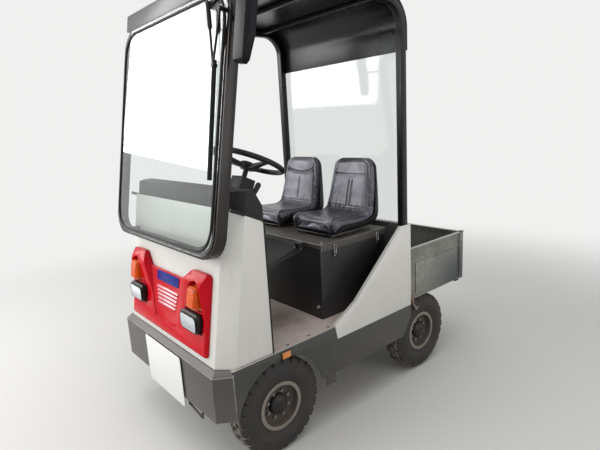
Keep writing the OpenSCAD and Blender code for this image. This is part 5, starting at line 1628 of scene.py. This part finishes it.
# Each seat's own seams, as shares along its curve and distances across in metres
seamLook = {
    "left": {"upright": [-0.013, 0.011], "uprightTop": 0.80, "cross": 0.846, "crossSag": 0.003,
             "crossDeep": 0.0020, "pleats": 9, "pleatDeep": 0.0010, "seed": 3},
    "right": {"upright": [-0.006], "uprightTop": 0.805, "cross": 0.882, "crossSag": 0.024,
              "crossDeep": 0.0062, "pleats": 7, "pleatDeep": 0.0010, "seed": 8}}
# What both seats share: places as shares along and across, widths and depths in metres
sewLook = {
    "length": 0.60, "thinDepth": 0.018, "fullDepth": 0.014, "flatTo": 0.88, "flatBlend": 0.08, "fold": 0.54,
    "blend": 0.03, "uprightWide": 0.0042, "uprightDeep": 0.0036, "topBlend": 0.02, "crossWide": 0.0048,
    "welt": 0.35, "weltAt": 2.1, "weltWide": 0.9,
    "pipingAt": 0.925, "pipingTop": 0.97, "pipingFoot": 0.12, "rollAt": 0.115, "cord": 0.0030,
    "cordWide": 0.0036, "valley": 0.0022, "valleyAt": 0.0085, "valleyWide": 0.0042,
    "fanReach": 0.055, "foldReach": 0.016, "foldDeep": 0.004,
    "waves": 7, "waveTurn": 0.9, "waveSizes": (38, 95), "waveDeep": 0.0020, "waveFrom": 0.10,
    "waveBlend": 0.08, "cushionShare": 0.3}


def fade(distance, width):
    # 0 before a line, 1 from a width past it
    return np.clip(distance / width, 0, 1)


def bump(distance, wide):
    return np.exp(-(distance / wide) ** 2)


def groove(distance, wide, deep):
    # A seam's cross-section: a valley with a low roll on each side
    look = sewLook
    t = np.abs(distance) / wide
    return -deep * np.exp(-t * t) + deep * look["welt"] * bump(t - look["weltAt"], look["weltWide"])


def piping(distance):
    # A raised cord with a valley on its inner side
    look = sewLook
    valley = look["valley"] * bump(distance + look["valleyAt"], look["valleyWide"])
    return look["cord"] * bump(distance, look["cordWide"]) - valley


def slackCreases(y, along, seed):
    # A sum of a few slanting waves
    look = sewLook
    rng = np.random.default_rng(seed)
    creases = np.zeros(len(y))
    for _ in range(look["waves"]):
        turn = rng.uniform(-look["waveTurn"], look["waveTurn"])
        size, shift = rng.uniform(*look["waveSizes"]), rng.uniform(0, 6.28)
        creases += np.sin((y * math.sin(turn) + along * math.cos(turn)) * size + shift
                          + 1.5 * np.sin(y * 31 + shift)) / look["waves"]
    return creases


def sewSeat(pad, seams):
    look = sewLook
    spots, normals = readPoints(pad.data), readPoints(pad.data, "normal")
    share, depth, height = seatPlace(spots)
    upper = fade(depth - look["thinDepth"], look["fullDepth"])
    half = np.array([seatHalfWidth(s, h) for s, h in zip(share, height)])
    y, length, fold = spots[:, 1], look["length"], look["fold"]
    v = y / half
    inside = fade(look["flatTo"] - np.abs(v), look["flatBlend"])
    back = fade(share - fold, look["blend"])
    lift = np.zeros(len(spots))
    for middle in seams["upright"]:
        below = fade(seams["uprightTop"] - share, look["topBlend"])
        lift += groove(y - middle, look["uprightWide"], look["uprightDeep"]) * back * below
    sag = seams["crossSag"] * (1 - np.clip(v / look["flatTo"], -1, 1) ** 2) / length
    lift += groove((share - seams["cross"] + sag) * length, look["crossWide"], seams["crossDeep"]) * inside
    # Piping along both sides and across the front roll
    ends = fade(look["pipingTop"] - share, look["blend"]) * fade(share - look["pipingFoot"], look["blend"])
    lift += piping((np.abs(v) - look["pipingAt"]) * half) * ends
    lift += piping((look["rollAt"] - share) * length)
    # Pleats fan out of the fold between cushion and back
    wave = np.sin(v * math.pi * seams["pleats"] + np.sin(v * 9 + seams["seed"]) * 1.4)
    pleats = seams["pleatDeep"] * wave * bump(share - fold, look["fanReach"]) * inside
    lift += pleats - look["foldDeep"] * bump(share - fold, look["foldReach"]) * inside
    # Slack creases are strongest on the back
    slack = look["cushionShare"] + (1 - look["cushionShare"]) * back
    creases = look["waveDeep"] * slackCreases(y, share * length, seams["seed"]) * inside
    lift += creases * slack * fade(share - look["waveFrom"], look["waveBlend"])
    writePoints(pad.data, spots + normals * (lift * upper)[:, None])


def makeShells():
    # The moulded shells: round cornered tubs that hold the padding up to its edge
    look = seatLook
    sit, back, outer = (alongCurve(look[key], look["steps"]) for key in ("sit", "back", "outer"))
    across = seatAcross(look["shellColumns"])
    verts, faces = [], []
    for side in (-1, 1):
        faces += gridFaces(look["steps"], len(across), around=False, first=len(verts))
        for i in range(look["steps"]):
            rim = back[i] + (sit[i] - back[i]) * look["shellRim"]
            half = seatHalfWidth(i / (look["steps"] - 1), back[i][1]) + look["shellOut"]
            for v in across:
                rise = 1 - math.sqrt(max(0.0, 1 - abs(v) ** 3.4))
                spot = outer[i] + (rim - outer[i]) * rise
                verts.append((spot[0], side * look["across"] + v * half, spot[1] + look["base"]))
    shells = addPiece("seatShells", verts, faces, lampBlack)
    thicken(shells, look["shellThick"], 0)
    dress(shells, lampBlack, 40)
    finishPiece(shells, "seat_deck", nodeSlot["seat_shells"], "seat_shells")


def makeSeats():
    makeShells()
    verts, faces = seatShape()
    pad = addPiece("seatPad.left", verts, faces, seatVinyl)
    mergeDoubles(pad, seatLook["merge"])
    remeshPad(pad)
    swellPad(pad)
    other = bpy.data.objects.new("seatPad.right", pad.data.copy())
    dress(other, seatVinyl)
    for piece, side, place in ((pad, 1, "left"), (other, -1, "right")):
        finer = piece.modifiers.new("finer", "SUBSURF")
        finer.levels = finer.render_levels = seatLook["finer"]
        plainMesh(piece)
        sewSeat(piece, seamLook[place])
        moveMesh(piece, Matrix.Translation((0, side * seatLook["across"], 0)))
        dress(piece, seatVinyl)
        piece.data.shade_smooth()
        finishPiece(piece, "seat_deck", "black_vinyl", "seat_" + place)
        print(piece.name, len(piece.data.polygons), "faces")


makeSeats()
print("seats made")

# Camera, matched to the photograph
cameraLook = {"spot": (1.781, 2.080, 1.510), "yaw": 230.03, "pitch": -12.08, "roll": -3.32, "lens": 27.846}


def makeCamera():
    yaw, pitch, roll = (math.radians(cameraLook[k]) for k in ("yaw", "pitch", "roll"))
    ahead = Vector((math.cos(pitch) * math.cos(yaw), math.cos(pitch) * math.sin(yaw), math.sin(pitch)))
    right = ahead.cross(Vector((0, 0, 1))).normalized()
    above = right.cross(ahead)
    turnedRight = math.cos(roll) * right + math.sin(roll) * above
    turnedUp = -math.sin(roll) * right + math.cos(roll) * above
    data = bpy.data.cameras.new("viewer")
    data.sensor_width = 36.0
    data.sensor_fit = "HORIZONTAL"
    data.lens = cameraLook["lens"]
    camera = bpy.data.objects.new("viewer", data)
    columns = Matrix((turnedRight, turnedUp, -ahead)).transposed()
    camera.matrix_world = Matrix.Translation(cameraLook["spot"]) @ columns.to_4x4()
    bpy.context.scene.collection.objects.link(camera)
    bpy.context.scene.camera = camera


makeCamera()

# Studio: pale floor that fades into a pale surround, four soft lamps
studioLook = {
    "surround": tone(240, 240, 239), "ambient": 0.55, "floor": tone(206, 205, 203), "floorRadius": 12.0,
    "fadeFrom": 2.0, "fadeTo": 4.6,
    # Each lamp: name, place, height that it aims at, size, power
    "lamps": [("front soft box", (4.4, -1.5, 2.4), 0.9, (2.6, 2.2), 92),
              ("right window", (2.7, -3.4, 2.9), 1.0, (2.0, 2.4), 85),
              ("overhead soft box", (0.6, 0.6, 4.6), 0.8, (3.5, 3.5), 100),
              ("left fill", (-0.6, 4.2, 1.8), 0.8, (2.6, 2.0), 22)]}


def makeStudio():
    world = bpy.data.worlds.new("surround")
    bpy.context.scene.world = world
    world.use_nodes = True
    tree = world.node_tree
    back = tree.nodes["Background"]
    rays = addNode(tree, "ShaderNodeLightPath").outputs
    seen = maths(tree, "MAXIMUM", rays["Is Camera Ray"], rays["Is Glossy Ray"])
    seen = maths(tree, "MAXIMUM", seen, rays["Is Transmission Ray"])
    feed(tree, back.inputs["Color"], studioLook["surround"])
    strength = addNodeWith(tree, "ShaderNodeMapRange", seen, 0.0, 1.0, studioLook["ambient"], 1.0)
    feed(tree, back.inputs["Strength"], strength.outputs[0])
    mesh = bpy.data.meshes.new("studioFloor")
    shape = bmesh.new()
    bmesh.ops.create_circle(shape, cap_ends=True, segments=64, radius=studioLook["floorRadius"])
    shape.to_mesh(mesh)
    shape.free()
    floor = bpy.data.objects.new("studioFloor", mesh)
    bpy.context.scene.collection.objects.link(floor)
    made, tree, shader = startMaterial("studio floor")
    setInputs(shader, Base_Color=studioLook["floor"], Roughness=0.9, Specular_IOR_Level=0.1)
    away = addNodeWith(tree, "ShaderNodeVectorMath", bodySpot(tree), operation="LENGTH").outputs["Value"]
    faded = remap(tree, away, studioLook["fadeFrom"], studioLook["fadeTo"])
    faded = maths(tree, "MAXIMUM", faded, addNode(tree, "ShaderNodeNewGeometry").outputs["Backfacing"])
    clear = addNode(tree, "ShaderNodeBsdfTransparent")
    mix = addNode(tree, "ShaderNodeMixShader")
    feed(tree, mix.inputs[0], faded)
    tree.links.new(tree.nodes["Principled BSDF"].outputs[0], mix.inputs[1])
    tree.links.new(clear.outputs[0], mix.inputs[2])
    tree.links.new(mix.outputs[0], tree.nodes["Material Output"].inputs["Surface"])
    mesh.materials.append(made)


def addLamp(name, spot, up, size, power):
    data = bpy.data.lights.new(name, "AREA")
    data.shape = "RECTANGLE"
    data.size, data.size_y = size
    data.energy = power
    lamp = bpy.data.objects.new(name, data)
    lamp.location = spot
    lamp.rotation_mode = "QUATERNION"
    lamp.rotation_quaternion = (Vector((0, 0, up)) - Vector(spot)).to_track_quat("-Z", "Y")
    bpy.context.scene.collection.objects.link(lamp)


makeStudio()
for lamp in studioLook["lamps"]:
    addLamp(*lamp)
bpy.context.scene.view_settings.view_transform = "Standard"
